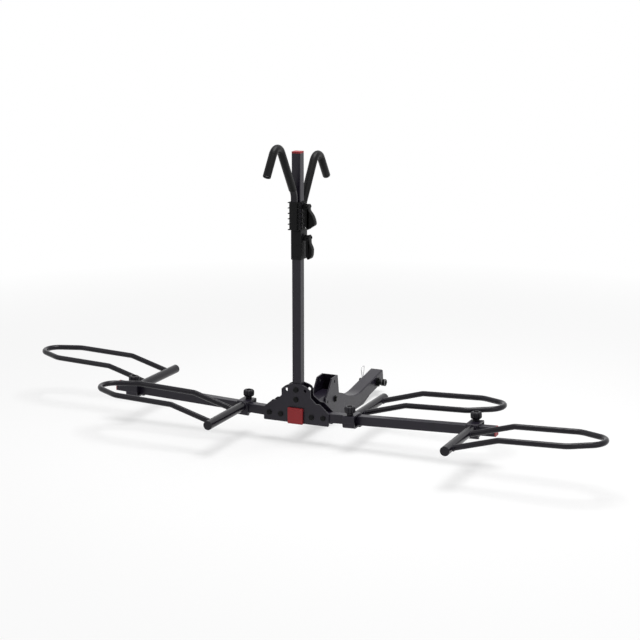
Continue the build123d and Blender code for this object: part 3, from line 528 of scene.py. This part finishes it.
def bead_line(bm, start, end):
    """Add a rippled weld bead between two points."""
    settings = bpy.context.scene.rack_fasteners
    start, end = Vector(start), Vector(end)
    run = end - start
    steps = max(4, round(run.length / settings.ripple)) * 2
    matrix = run.to_track_quat("Z", "Y").to_matrix().to_4x4()
    matrix.translation = start
    part = bmesh.new()
    bmesh.ops.create_circle(part, cap_ends=True, segments=8, radius=settings.bead * 0.55, matrix=matrix)
    edges = part.edges[:]
    here = start
    for step in range(1, steps + 1):
        there = start + run * (step / steps)
        if step == 1:
            grow = 1.7
        elif step == steps:
            grow = 0.6
        else:
            grow = 1.2 if step % 2 else 1 / 1.2
        edges = pushed(part, edges, there - here, here, grow)
        here = there
    bmesh.ops.edgeloop_fill(part, edges=edges)
    bmesh.ops.recalc_face_normals(part, faces=part.faces[:])
    placed(bm, part, Matrix.Identity(4))
    part.free()


def hexagon(bm, across, bottom, top, chamfer):
    """Add an upright hexagonal head with its corners turned down."""
    ring = bmesh.ops.create_circle(bm, cap_ends=True, segments=6, radius=across / 2 / cos(pi / 6),
                                   matrix=Matrix.Translation((0, 0, bottom)))["verts"]
    face = ring[0].link_faces[0]
    made = bmesh.ops.extrude_face_region(bm, geom=[face])["geom"]
    verts = [item for item in made if isinstance(item, bmesh.types.BMVert)]
    bmesh.ops.translate(bm, vec=(0, 0, top - bottom - chamfer), verts=verts)
    cover = [item for item in made if isinstance(item, bmesh.types.BMFace)]
    bmesh.ops.inset_region(bm, faces=cover, thickness=chamfer * 1.6, depth=chamfer, use_even_offset=True)
    bmesh.ops.recalc_face_normals(bm, faces=bm.faces[:])


def threaded(bm, radius, bottom, top, pitch=0.0015):
    """Add the threaded end of a bolt between two heights, with its point chamfered."""
    profile = [(0.0, bottom)]
    height = bottom
    while height < top - 2 * pitch:
        profile += [(radius, height + pitch * 0.25), (radius - pitch * 0.55, height + pitch * 0.75)]
        height += pitch
    profile += [(radius, height), (radius - pitch * 0.8, top), (0.0, top)]
    turned(bm, profile, 28)


def make_piece(name, bm, finishes, body, stands_for=(), smooth=35.0):
    """Turn a shape into a piece that rides on a body and stands for its CAD nodes."""
    mesh = bpy.data.meshes.new(name)
    bm.to_mesh(mesh)
    bm.free()
    for entry in finishes:
        mesh.materials.append(finish(entry))
    mesh.polygons.foreach_set("use_smooth", [True] * len(mesh.polygons))
    mesh.set_sharp_from_angle(angle=radians(smooth))
    piece = bpy.data.objects.new(name, mesh)
    bpy.context.scene.collection.objects.link(piece)
    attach(piece, body)
    if stands_for:
        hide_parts(*stands_for)
    return piece


# Operators

class RACK_OT_finish_steel(bpy.types.Operator):
    """Give every node of the frame its finish"""
    bl_idname = "rack.finish_steel"
    bl_label = "Finish frame"

    def execute(self, context):
        slots = {entry["node"]: entry["material_slot"] for entry in frame["record"]["subparts"]}
        rods, tubes = ("cross_tube", "hoop", "hook_bar"), ("tube", "arm")
        for node, obj in frame["nodes"].items():
            name = SLOT_FINISH[slots[node]]
            # Rods take the darker copy of the coat, which is painted shade
            if name == "powder_coat" and node.endswith(rods):
                name = "powder_coat_rod_painted_shade"
            elif name == "powder_coat" and node.endswith(tubes):
                name = "powder_coat_tube"
            obj.data.materials.clear()
            obj.data.materials.append(finish(name))
        return {"FINISHED"}


class RACK_OT_foam_sleeves(bpy.types.Operator):
    """Make the foam sleeves with rounded open ends"""
    bl_idname = "rack.foam_sleeves"
    bl_label = "Foam sleeves"

    def execute(self, context):
        for name, facing, step in (("front", -1, 0.0), ("rear", 1, 56.0)):
            foam_sleeve(name, facing, step)
        return {"FINISHED"}


def foam_sleeve(name, facing, step):
    """Sweep one sleeve from its foot over the bend to its tip and turn both ends in."""
    settings = bpy.context.scene.rack_sleeves
    bend = at(0, facing * 29.0, 772.0 - step)
    rise = Vector((0, facing * 130.6, 198.4)) / 1000
    fall = Vector((0, facing * 79.4, -113.4)) / 1000
    apex, tip = bend + rise, bend + rise + fall
    foot = bend + rise.normalized() * 0.021
    lip = settings.lip
    corners = [foot + rise.normalized() * lip, apex, tip - fall.normalized() * lip]
    bm = bmesh.new()
    first, last = swept(bm, corners, [0.0385], settings.radius, settings.segments, 18)
    outside = set(bm.faces)
    ends = ((first, corners[0], -rise.normalized()), (last, corners[2], fall.normalized()))
    for edges, centre, heading in ends:
        radius, reach = settings.radius, 0.0
        profile = (
            (settings.radius - lip * 0.25, lip * 0.7), (settings.radius - lip, lip),
            (settings.mouth + lip * 0.6, lip), (settings.mouth, lip * 0.3),
            (settings.mouth - 0.0006, -0.004), (0.0062, -0.008), (0.0055, -0.011),
        )
        for wanted, out in profile:
            edges = pushed(bm, edges, heading * (out - reach), centre + heading * reach, wanted / radius)
            radius, reach = wanted, out
        bmesh.ops.edgeloop_fill(bm, edges=edges)
    for face in bm.faces:
        centre = face.calc_center_median()
        near_end = min((centre - foot).dot(rise.normalized()), (tip - centre).dot(fall.normalized()))
        # Inside the bore, past the lip, the foam takes painted shade
        if face not in outside and near_end > 0.0012:
            face.material_index = 1
    bmesh.ops.recalc_face_normals(bm, faces=bm.faces[:])
    make_piece(f"{name}_foam_sleeve", bm, ("foam", "foam_bore_painted_shade"), frame_body(f"{name}_hook_sleeve"),
               (f"{name}_hook_sleeve",), 50.0)


def frame_body(node):
    """The body that a CAD node rides on."""
    return next(body for body, nodes in frame["record"]["behaviour"]["bodies"].items() if node in nodes)


class RACK_OT_knobs(bpy.types.Operator):
    """Make the four fluted clamp knobs"""
    bl_idname = "rack.knobs"
    bl_label = "Clamp knobs"

    def execute(self, context):
        settings = context.scene.rack_knobs
        radius, height = settings.radius, settings.height
        knob = bmesh.new()
        turned(knob, [
            (0.0, 0.0), (0.0105, 0.0), (0.011, 0.0006), (0.011, 0.0062), (0.0165, 0.0084),
            (radius - 0.001, 0.0102), (radius - 0.0002, 0.0125), (radius, 0.017), (radius, 0.022),
            (radius - 0.0003, height - 0.0055),
            (radius - 0.0012, height - 0.0028), (radius - 0.0034, height - 0.0009), (radius - 0.0062, height),
            (0.0096, height), (0.0088, height - 0.0008), (0.0084, height - 0.0036), (0.0, height - 0.0036),
        ], 96)
        for vert in knob.verts:
            reach = hypot(vert.co.x, vert.co.y)
            if vert.co.z > 0.0075 and reach > 0.0105:
                wave = max(0.0, cos(settings.lobes * atan2(vert.co.y, vert.co.x)))
                fade = min(1.0, (reach - 0.0105) / 0.004)
                vert.co.xy *= 1 - settings.flute * fade * wave ** 1.5 / reach
        top = bmesh.new()
        hexagon(top, 0.0125, height - 0.0052, height - 0.0022, 0.0006)
        placed(knob, top, Matrix.Identity(4))
        top.free()
        # The sunk top and the hex in it take painted shade
        for face in knob.faces:
            centre = face.calc_center_median()
            if centre.z > height - 0.006 and centre.xy.length < 0.0088:
                face.material_index = 1
        for name, (side, along, towards) in HOLDERS.items():
            outwards, upwards = arm_axes(side)
            bm = bmesh.new()
            seat = on_arm(side, along, -towards * KNOB_OUT, PLATE_INNER + CLAMP_SHEET + KNOB_GAP)
            placed(bm, knob, frame_at(seat, outwards, upwards))
            make_piece(f"{name}_fluted_knob", bm, ("knob_plastic", "nylon_painted_shade"), f"{name}_knob",
                       (f"{name}_knob",), 38.0)
        knob.free()
        return {"FINISHED"}


class RACK_OT_heads(bpy.types.Operator):
    """Make the ribbed upper head and the plain lower head"""
    bl_idname = "rack.heads"
    bl_label = "Sliding heads"

    def execute(self, context):
        upper_head(context.scene.rack_heads)
        lower_head()
        return {"FINISHED"}


def lever_lugs(bm, height, back):
    """Add the two rounded lugs that hold a lever's pin, from a head's right-hand side."""
    for side in (-1, 1):
        part = bmesh.new()
        bmesh.ops.create_circle(part, cap_ends=True, segments=36, radius=0.0075,
                                matrix=Matrix.Rotation(pi / 2, 4, "X"))
        pushed(part, [edge for edge in part.edges if all(vert.co.x < 0.0012 for vert in edge.verts)],
               (-0.0155, 0, 0))
        for vert in part.verts:
            vert.co.x = max(vert.co.x, -0.0155)
        made = bmesh.ops.extrude_face_region(part, geom=part.faces[:])["geom"]
        verts = [item for item in made if isinstance(item, bmesh.types.BMVert)]
        bmesh.ops.translate(part, vec=(0, 0.0035, 0), verts=verts)
        bmesh.ops.recalc_face_normals(part, faces=part.faces[:])
        soften(part, 0.0006)
        placed(bm, part, Matrix.Translation(at(LEVER_PIN_OUT, back + side * 12.15 - 1.75, height)))
        part.free()


def upper_head(settings):
    """Body, strip over the stem, six ribs, and cells sunk between the ribs on both sides.

    The body is solid: it has no bore, and the mast runs through it unseen.
    """
    top = UPPER_BOTTOM + UPPER_HEIGHT
    bm = bmesh.new()
    box_between(bm, at(-HEAD_SIDE, -30.0, UPPER_BOTTOM), at(HEAD_SIDE, 21.0, top - CAP_CLEARANCE))
    ribs = [UPPER_BOTTOM + step * RIB_PITCH for step in range(UPPER_RIBS)]
    levels = [height + edge for height in ribs for edge in (0.0, RIB)][1:-1]
    for level in levels:
        bmesh.ops.bisect_plane(bm, geom=bm.verts[:] + bm.edges[:] + bm.faces[:], dist=1e-6,
                               plane_co=at(0, 0, level), plane_no=(0, 0, 1))
    for cut in (-27.5, -9.5, -3.0, 13.0):
        bmesh.ops.bisect_plane(bm, geom=bm.verts[:] + bm.edges[:] + bm.faces[:], dist=1e-6,
                               plane_co=at(0, cut, 0), plane_no=(0, 1, 0))
    bmesh.ops.remove_doubles(bm, verts=bm.verts[:], dist=1e-6)
    cells = []
    for face in bm.faces:
        centre = (face.calc_center_median() - RACK) * 1000
        band = (centre.z - UPPER_BOTTOM) % RIB_PITCH > RIB
        on_side = abs(abs(centre.x) - HEAD_SIDE) < 0.1
        if band and on_side and (-27.5 < centre.y < -9.5 or -3.0 < centre.y < 13.0):
            cells.append(face)
    bmesh.ops.inset_individual(bm, faces=cells, thickness=0.0006, depth=0.0, use_even_offset=True)
    bmesh.ops.inset_individual(bm, faces=cells, thickness=0.0006, depth=-settings.cell_depth,
                               use_even_offset=True)
    # The cells' sunk floors take painted shade
    for face in cells:
        face.material_index = 1
    bmesh.ops.recalc_face_normals(bm, faces=bm.faces[:])
    soften(bm, 0.0004, 1)
    strip = bmesh.new()
    box_between(strip, at(-11.5, -36.0, UPPER_BOTTOM), at(11.5, -29.0, top))
    soften(strip, 0.0022, 3)
    placed(bm, strip, Matrix.Identity(4))
    strip.free()
    for height in ribs:
        ring = bmesh.new()
        box_between(ring, at(-22.0, -35.0, height), at(HEAD_SIDE, 18.0, height + RIB - CAP_CLEARANCE))
        soften(ring, 0.0007, 2)
        placed(bm, ring, Matrix.Identity(4))
        ring.free()
    for height in (671.0, 726.0):
        boss = bmesh.new()
        turned(boss, [(0.0, -0.001), (0.0036, -0.001), (0.0036, 0.0006), (0.003, 0.001), (0.0022, 0.001),
                      (0.0018, 0.0002), (0.0, 0.0002)], 24)
        placed(bm, boss, frame_at(at(-HEAD_SIDE, 17.0, height), (0, 1, 0), (-1, 0, 0)))
        boss.free()
    lever_lugs(bm, *UPPER_LEVER)
    make_piece("ribbed_upper_head", bm, ("nylon", "nylon_painted_shade"), "upper_head",
               ("upper_head",), 32.0)


def lower_head():
    """Plain solid box with a rounded top, a guide slot, three screws and a parting line, without a bore."""
    bm = bmesh.new()
    box_between(bm, at(-18.5, -18.6, 548.0), at(18.5, 36.0, 649.0))
    upright = [edge for edge in bm.edges if abs((edge.verts[0].co - edge.verts[1].co).z) > 0.05]
    rim = [edge for edge in bm.edges if all(vert.co.z > at(0, 0, 640.0).z for vert in edge.verts)]
    bmesh.ops.bevel(bm, geom=upright + rim, offset=0.0025, offset_type="OFFSET", affect="EDGES", segments=3,
                    profile=0.5, clamp_overlap=True, material=-1)
    for level in (598.0, 600.0):
        bmesh.ops.bisect_plane(bm, geom=bm.verts[:] + bm.edges[:] + bm.faces[:], dist=1e-6,
                               plane_co=at(0, 0, level), plane_no=(0, 0, 1))
    for cut in (-12.0, 4.0):
        bmesh.ops.bisect_plane(bm, geom=bm.verts[:] + bm.edges[:] + bm.faces[:], dist=1e-6,
                               plane_co=at(0, cut, 0), plane_no=(0, 1, 0))
    for level in (630.0, 637.0):
        bmesh.ops.bisect_plane(bm, geom=bm.verts[:] + bm.edges[:] + bm.faces[:], dist=1e-6,
                               plane_co=at(0, 0, level), plane_no=(0, 0, 1))
    cuts = []
    seam = []
    for face in bm.faces:
        centre = (face.calc_center_median() - RACK) * 1000
        if centre.x > 18.4 and -12.0 < centre.y < 4.0 and 630.0 < centre.z < 637.0:
            cuts.append(face)
        if 598.0 < centre.z < 600.0:
            seam.append(face)
    bmesh.ops.inset_individual(bm, faces=cuts, thickness=0.0008, depth=-0.004, use_even_offset=True)
    # The sunk slot takes painted shade
    for face in cuts:
        face.material_index = 1
    bmesh.ops.inset_region(bm, faces=seam, thickness=0.0005, depth=-0.0007, use_even_offset=True)
    bmesh.ops.recalc_face_normals(bm, faces=bm.faces[:])
    screw = bmesh.new()
    turned(screw, [(0.0, -0.002), (0.0042, -0.002), (0.0042, 0.0003), (0.0036, 0.0009), (0.002, 0.0011),
                   (0.0018, -0.0008), (0.0, -0.0008)], 28)
    placed(bm, screw, frame_at(at(18.5, -8.0, 611.0), (0, 1, 0), (1, 0, 0)))
    for x in (-9.0, 9.0):
        placed(bm, screw, frame_at(at(x, -18.6, 560.0), (1, 0, 0), (0, -1, 0)))
    screw.free()
    lever_lugs(bm, *LOWER_LEVER)
    make_piece("plain_lower_head", bm, ("nylon", "nylon_painted_shade"), "lower_head",
               ("lower_head",), 32.0)


class RACK_OT_levers(bpy.types.Operator):
    """Make the two release levers with sunk cheeks and thumb ridges"""
    bl_idname = "rack.levers"
    bl_label = "Release levers"

    def execute(self, context):
        release_lever("upper", *UPPER_LEVER, (
            (-7, 7), (6, 9), (7.5, -12), (20, -28), (25.5, -40), (29.1, -55), (27.5, -62), (10, -73),
            (2, -79), (-7, -64)))
        release_lever("lower", *LOWER_LEVER, (
            (-7, 9), (5.5, 11), (7, -17.5), (13.5, -31), (15.8, -39), (14.7, -58.5), (10.5, -68.5),
            (0, -74), (-7, -62)))
        return {"FINISHED"}


def release_lever(name, height, back, outline):
    """A lever from its side outline, 20 mm wide, with its cheeks sunk and its paddle ridged."""
    settings = bpy.context.scene.rack_heads
    bm = bmesh.new()
    face = bm.faces.new([bm.verts.new(at(LEVER_PIN_OUT + x, back - 10.0, height + z)) for x, z in outline])
    made = bmesh.ops.extrude_face_region(bm, geom=[face])["geom"]
    verts = [item for item in made if isinstance(item, bmesh.types.BMVert)]
    bmesh.ops.translate(bm, vec=(0, 0.02, 0), verts=verts)
    bmesh.ops.recalc_face_normals(bm, faces=bm.faces[:])
    corners = [edge for edge in bm.edges if abs((edge.verts[0].co - edge.verts[1].co).y) > 0.015]
    bmesh.ops.bevel(bm, geom=corners, offset=0.003, offset_type="OFFSET", affect="EDGES", segments=4,
                    profile=0.5, clamp_overlap=True, material=-1)
    cheeks = [entry for entry in bm.faces if abs(entry.normal.y) > 0.9]
    bmesh.ops.inset_individual(bm, faces=cheeks, thickness=0.0028, depth=0.0, use_even_offset=True)
    bmesh.ops.inset_individual(bm, faces=cheeks, thickness=0.0008, depth=-0.0018, use_even_offset=True)
    for entry in cheeks:
        entry.material_index = 1
    soften(bm, settings.lever_edge / 3, 2, radians(50))
    (x0, z0), (x1, z1) = outline[4:6]
    run = Vector((x1 - x0, 0, z1 - z0))
    outwards = Vector((-run.z, 0, run.x)).normalized()
    for step in range(4):
        ridge = bmesh.new()
        box_between(ridge, (-0.0009, -0.0075, -0.0008), (0.0009, 0.0075, 0.0008))
        soften(ridge, 0.0005, 2)
        place = at(LEVER_PIN_OUT + x0, back, height + z0) + run * (0.15 + 0.2 * step) / 1000
        placed(bm, ridge, frame_at(place, run, outwards))
        ridge.free()
    make_piece(f"{name}_release_lever", bm, ("nylon", "nylon_cheek"), f"{name}_lever",
               (f"{name}_lever",), 40.0)


class RACK_OT_fasteners(bpy.types.Operator):
    """Make the flanged plate bolts, their nuts, and the tilt pivot's bolt and nut"""
    bl_idname = "rack.fasteners"
    bl_label = "Bolts and nuts"

    def execute(self, context):
        settings = context.scene.rack_fasteners
        bolt = bmesh.new()
        hexagon(bolt, settings.across, 0.0012, 0.0065, 0.0009)
        turned(bolt, [(0.0, 0.0), (settings.flange / 2, 0.0), (settings.flange / 2, 0.0009),
                      (settings.flange / 2 - 0.0008, 0.0015), (settings.across / 2, 0.0024),
                      (0.0, 0.0024)], 40)
        turned(bolt, [(0.0, 0.0060), (0.0052, 0.0060), (0.0052, 0.0063), (0.0, 0.0067)], 28)
        nut = bmesh.new()
        hexagon(nut, 0.016, 0.0, 0.008, 0.0009)
        threaded(nut, 0.005, 0.006, 0.0110)
        heads, nuts = bmesh.new(), bmesh.new()
        spots = [((on_arm(side, along) - RACK) * 1000) for side in (-1, 1) for along in (58.4, 102.0)]
        spots = [(spot.x, spot.z) for spot in spots] + [(0.0, 59.4), (0.0, 93.7)]
        for index, (x, z) in enumerate(spots):
            turn = Vector((cos(0.7 * index), 0, sin(0.7 * index)))
            placed(heads, bolt, frame_at(at(x, -PLATE_OUTER, z), turn, (0, -1, 0)))
            placed(nuts, nut, frame_at(at(x, PLATE_OUTER, z), turn, (0, 1, 0)))
            shank = bmesh.new()
            through = 2 * PLATE_OUTER / 1000
            turned(shank, [(0.0, 0.0), (0.005, 0.0), (0.005, through), (0.0, through)], 28)
            placed(heads, shank, frame_at(at(x, -PLATE_OUTER, z), (1, 0, 0), (0, 1, 0)))
            shank.free()
        make_piece("flange_bolts", heads, ("dark_oxide",), "platform", ("plate_bolts",))
        make_piece("hex_nuts", nuts, ("dark_oxide",), "platform", ("plate_nuts",))
        bolt.free()
        nut.free()
        pivot_bolt, pivot_nut = bmesh.new(), bmesh.new()
        head, rod, tail, lock_nut = (bmesh.new() for _ in range(4))
        right, left = PIVOT + Vector((0.0304, 0, 0)), PIVOT - Vector((0.0304, 0, 0))
        hexagon(head, 0.018, 0.0018, 0.007, 0.001)
        turned(head, [(0.0, 0.0), (0.0125, 0.0), (0.0125, 0.0014), (0.0119, 0.0018), (0.0, 0.0018)], 44)
        placed(pivot_bolt, head, frame_at(right, (0, 0.9, 0.4), (1, 0, 0)))
        turned(rod, [(0.0, 0.0), (0.006, 0.0), (0.006, 0.0608), (0.0, 0.0608)], 32)
        placed(pivot_bolt, rod, frame_at(left, (0, 1, 0), (1, 0, 0)))
        threaded(tail, 0.006, 0.0, 0.012, 0.00175)
        placed(pivot_bolt, tail, frame_at(left, (0, 1, 0), (-1, 0, 0)))
        make_piece("tilt_pivot_bolt", pivot_bolt, ("dark_oxide",), "shank",
                   ("pivot_bolt",))
        hexagon(lock_nut, 0.018, 0.0, 0.0078, 0.001)
        turned(lock_nut, [(0.0, 0.0070), (0.0078, 0.0070), (0.0074, 0.0086), (0.0066, 0.009),
                          (0.0, 0.009)], 36)
        placed(pivot_nut, lock_nut, frame_at(left, (0, 0.8, 0.6), (-1, 0, 0)))
        make_piece("tilt_pivot_nut", pivot_nut, ("dark_oxide",), "shank", ("pivot_nut",))
        for part in (head, rod, tail, lock_nut):
            part.free()
        return {"FINISHED"}


class RACK_OT_pin_lock(bpy.types.Operator):
    """Make the hitch pin's key lock and its wire clip"""
    bl_idname = "rack.pin_lock"
    bl_label = "Pin lock and clip"

    def execute(self, context):
        lock = bmesh.new()
        turned(lock, [
            (0.0, 0.0345), (0.0108, 0.0345), (0.0115, 0.0352), (0.0115, 0.0448), (0.0128, 0.0456),
            (0.0135, 0.0464), (0.0135, 0.0484), (0.0131, 0.0488), (0.0131, 0.0570), (0.0135, 0.0574),
            (0.0135, 0.0596),
            (0.0129, 0.0608), (0.0116, 0.0614), (0.0094, 0.0614), (0.0090, 0.0606), (0.0088, 0.0592),
            (0.0050, 0.0592), (0.0047, 0.0596), (0.0, 0.0597)], 64)
        for face in lock.faces:
            centre = face.calc_center_median()
            # The sunk key face takes painted shade
            if centre.z > 0.0590 and centre.xy.length < 0.0089:
                face.material_index = 1
            elif centre.z > 0.0595 or 0.0464 < centre.z < 0.0486:
                face.material_index = 2
        way = bmesh.new()
        # Thin dark box for the keyhole: painted shade
        box_between(way, (-0.0006, -0.0032, 0.0588), (0.0006, 0.0032, 0.0599))
        for face in way.faces:
            face.material_index = 1
        placed(lock, way, Matrix.Rotation(radians(20), 4, "Z"))
        way.free()
        bm = bmesh.new()
        placed(bm, lock, frame_at((0, 0, 0), (0, 1, 0), (1, 0, 0)))
        lock.free()
        make_piece("key_lock", bm, ("dark_oxide", "nylon_painted_shade", "dull_zinc"), "hitch_pin",
                   ("hitch_lock",))
        wire = bmesh.new()
        x = -0.037
        leg = 0.00794 + 0.0013 + 0.0003
        corners = [(x, 0, -0.0129), (x, 0, 0.0182), (x, -0.009, 0.0416), (x, 0, 0.052), (x, 0.024, 0.052),
                   (x, leg, 0.0099), (x, leg, -0.0059)]
        first, last = swept(wire, corners, [0.0065] * 5, 0.0013, 16, 12)
        for edges, centre, heading in ((first, Vector(corners[0]), Vector((0, 0, -1))),
                                       (last, Vector(corners[-1]), Vector((0, 0, -1)))):
            edges = pushed(wire, edges, heading * 0.0005, centre, 0.7)
            bmesh.ops.edgeloop_fill(wire, edges=edges)
        bmesh.ops.recalc_face_normals(wire, faces=wire.faces[:])
        make_piece("wire_clip", wire, ("zinc",), "hitch_clip", ("hitch_clip",))
        return {"FINISHED"}


class RACK_OT_welds(bpy.types.Operator):
    """Lay the weld beads along the frame's joints"""
    bl_idname = "rack.welds"
    bl_label = "Weld beads"

    def execute(self, context):
        slope = atan2(42.0 - 4.6, 163.5 - 12.0)
        for name, (side, along, towards) in HOLDERS.items():
            outwards, upwards = arm_axes(side)
            bm = bmesh.new()
            for out in (72.2, 240.2):
                start = on_arm(side, along + 16.2, towards * out, 4.6 + 1.0)
                aim = outwards * cos(slope) + upwards * sin(slope)
                bead_ring(bm, frame_at(start, Vector((0, 1, 0)).cross(aim), aim), 0.0097, 0.016)
            foot = on_arm(side, along, towards * 22.5, 4.6)
            bead_ring(bm, frame_at(foot, outwards, (0, towards, 0)), 0.0163)
            make_piece(f"{name}_welds", bm, ("weld",), f"{name}_clamp")
        spine = bmesh.new()
        for face in (-1, 1):
            for inner in (PLATE_INNER, PLATE_OUTER):
                y = face * inner + (0.9 if face * inner > 0 else -0.9) * (1 if inner > 19 else -1)
                bead_line(spine, at(-24.0, y, 27.9), at(24.0, y, 27.9))
                for side in (-1, 1):
                    bead_line(spine, at(side * 25.6, y, 25.5), at(side * 25.6, y, -22.0))
        make_piece("plate_welds", spine, ("weld",), "platform")
        return {"FINISHED"}


class RACK_OT_stage(bpy.types.Operator):
    """Lay the floor and set up the lamps, the world and the camera"""
    bl_idname = "rack.stage"
    bl_label = "Stage"

    def execute(self, context):
        settings = context.scene.rack_stage
        target = Vector(settings.look_at)
        bm = bmesh.new()
        bmesh.ops.create_grid(bm, x_segments=1, y_segments=1, size=150.0)
        bmesh.ops.translate(bm, vec=(0, 0, settings.floor), verts=bm.verts[:])
        mesh = bpy.data.meshes.new("floor")
        bm.to_mesh(mesh)
        bm.free()
        mesh.materials.append(floor_paper(settings))
        ground = bpy.data.objects.new("floor", mesh)
        context.scene.collection.objects.link(ground)
        softbox("top_light", target + Vector((0.4, 0.2, 3.2)), target, 2.0, 108.0)
        softbox("right_light", target + Vector((3.4, -1.6, 1.6)), target, 2.6, 18.0)
        softbox("left_light", target + Vector((-3.2, -2.4, 1.8)), target, 2.6, 14.0)
        plain_world(context.scene)
        camera = bpy.data.objects.new("camera", bpy.data.cameras.new("camera"))
        context.scene.collection.objects.link(camera)
        a, e = settings.azimuth, settings.elevation
        back = Vector((sin(a) * cos(e), -cos(a) * cos(e), sin(e)))
        camera.location = target + back * settings.distance
        camera.rotation_euler = back.to_track_quat("Z", "Y").to_euler()
        camera.data.sensor_width = 36.0
        camera.data.lens = settings.lens
        camera.data.clip_end = 400.0
        context.scene.camera = camera
        context.scene.view_settings.view_transform = "Standard"
        return {"FINISHED"}


def seen_directly(tree):
    """Factor that is 1 for what the camera, a reflection or a refraction sees."""
    path = tree.nodes.new("ShaderNodeLightPath")
    total = path.outputs["Is Camera Ray"]
    for name in ("Is Glossy Ray", "Is Transmission Ray"):
        both = tree.nodes.new("ShaderNodeMath")
        both.operation = "MAXIMUM"
        tree.links.new(total, both.inputs[0])
        tree.links.new(path.outputs[name], both.inputs[1])
        total = both.outputs["Value"]
    return total


def floor_paper(settings):
    """White paper that fades to the background and keeps a share of its shadows."""
    material, tree, shader, place = start_finish("floor_paper", 0.9, gloss=0.0)
    tone = settings.floor_tone
    fibre = grain(tree, place, 60.0, 3.0)
    tree.links.new(blend_colours(tree, spread(tree, fibre, 0.0, 1.0), (tone * 0.995,) * 3, (tone,) * 3),
                   shader.inputs["Base Color"])
    glow = add_node(tree, "ShaderNodeEmission", Color=(1.0, 1.0, 1.0, 1.0), Strength=1.0)
    centre = add_node(tree, "ShaderNodeMapping", Location=(0.0, 0.5, 0.0))
    tree.links.new(place, centre.inputs["Vector"])
    length = tree.nodes.new("ShaderNodeVectorMath")
    length.operation = "LENGTH"
    tree.links.new(centre.outputs["Vector"], length.inputs[0])
    near = spread(tree, length.outputs["Value"], 1.0 - settings.shadow, 1.0, 1.2, 3.2)
    factor = tree.nodes.new("ShaderNodeMath")
    factor.operation = "MULTIPLY"
    tree.links.new(near, factor.inputs[0])
    tree.links.new(seen_directly(tree), factor.inputs[1])
    mix = tree.nodes.new("ShaderNodeMixShader")
    tree.links.new(factor.outputs["Value"], mix.inputs["Fac"])
    tree.links.new(shader.outputs["BSDF"], mix.inputs[1])
    tree.links.new(glow.outputs["Emission"], mix.inputs[2])
    tree.links.new(mix.outputs["Shader"], tree.nodes["Material Output"].inputs["Surface"])
    return material


def softbox(name, place, target, size, power):
    """A square area lamp that faces a point."""
    lamp = bpy.data.lights.new(name, "AREA")
    lamp.size = size
    lamp.energy = power
    obj = bpy.data.objects.new(name, lamp)
    obj.location = place
    obj.rotation_euler = (place - target).to_track_quat("Z", "Y").to_euler()
    bpy.context.scene.collection.objects.link(obj)


def plain_world(scene):
    """A white background with a gentler light of its own."""
    world = bpy.data.worlds.new("studio")
    scene.world = world
    world.use_nodes = True
    tree = world.node_tree
    light = tree.nodes["Background"]
    light.inputs["Color"].default_value = (1.0, 1.0, 1.0, 1.0)
    light.inputs["Strength"].default_value = 0.28
    shown = add_node(tree, "ShaderNodeBackground", Color=(1.0, 1.0, 1.0, 1.0), Strength=1.0)
    mix = tree.nodes.new("ShaderNodeMixShader")
    tree.links.new(seen_directly(tree), mix.inputs["Fac"])
    tree.links.new(light.outputs["Background"], mix.inputs[1])
    tree.links.new(shown.outputs["Background"], mix.inputs[2])
    tree.links.new(mix.outputs["Shader"], tree.nodes["World Output"].inputs["Surface"])


class RACK_PT_panel(bpy.types.Panel):
    """Sidebar panel with the rack's pieces and settings"""
    bl_label = "Bike rack"
    bl_space_type = "VIEW_3D"
    bl_region_type = "UI"
    bl_category = "Bike rack"

    def draw(self, context):
        for operator in OPERATORS:
            self.layout.operator(operator.bl_idname)
        for group in PROPERTIES:
            settings = getattr(context.scene, group)
            column = self.layout.column(align=True)
            for name in type(settings).__annotations__:
                column.prop(settings, name)


OPERATORS = (
    RACK_OT_finish_steel,
    RACK_OT_foam_sleeves,
    RACK_OT_knobs,
    RACK_OT_heads,
    RACK_OT_levers,
    RACK_OT_fasteners,
    RACK_OT_pin_lock,
    RACK_OT_welds,
    RACK_OT_stage,
)
SETTINGS = (StageSettings, FinishSettings, SleeveSettings, KnobSettings, HeadSettings, FastenerSettings)
PROPERTIES = {
    "rack_stage": StageSettings,
    "rack_finishes": FinishSettings,
    "rack_sleeves": SleeveSettings,
    "rack_knobs": KnobSettings,
    "rack_heads": HeadSettings,
    "rack_fasteners": FastenerSettings,
}


def register():
    """Register the settings, the operators and the panel."""
    for entry in SETTINGS + OPERATORS + (RACK_PT_panel,):
        bpy.utils.register_class(entry)
    for name, settings in PROPERTIES.items():
        setattr(bpy.types.Scene, name, PointerProperty(type=settings))


def unregister():
    """Take them all out again."""
    for name in PROPERTIES:
        delattr(bpy.types.Scene, name)
    for entry in reversed(SETTINGS + OPERATORS + (RACK_PT_panel,)):
        bpy.utils.unregister_class(entry)


def main():
    """Dress the rack."""
    register()
    for operator in OPERATORS:
        group, name = operator.bl_idname.split(".")
        getattr(getattr(bpy.ops, group), name)()


if __name__ == "__main__":
    main()
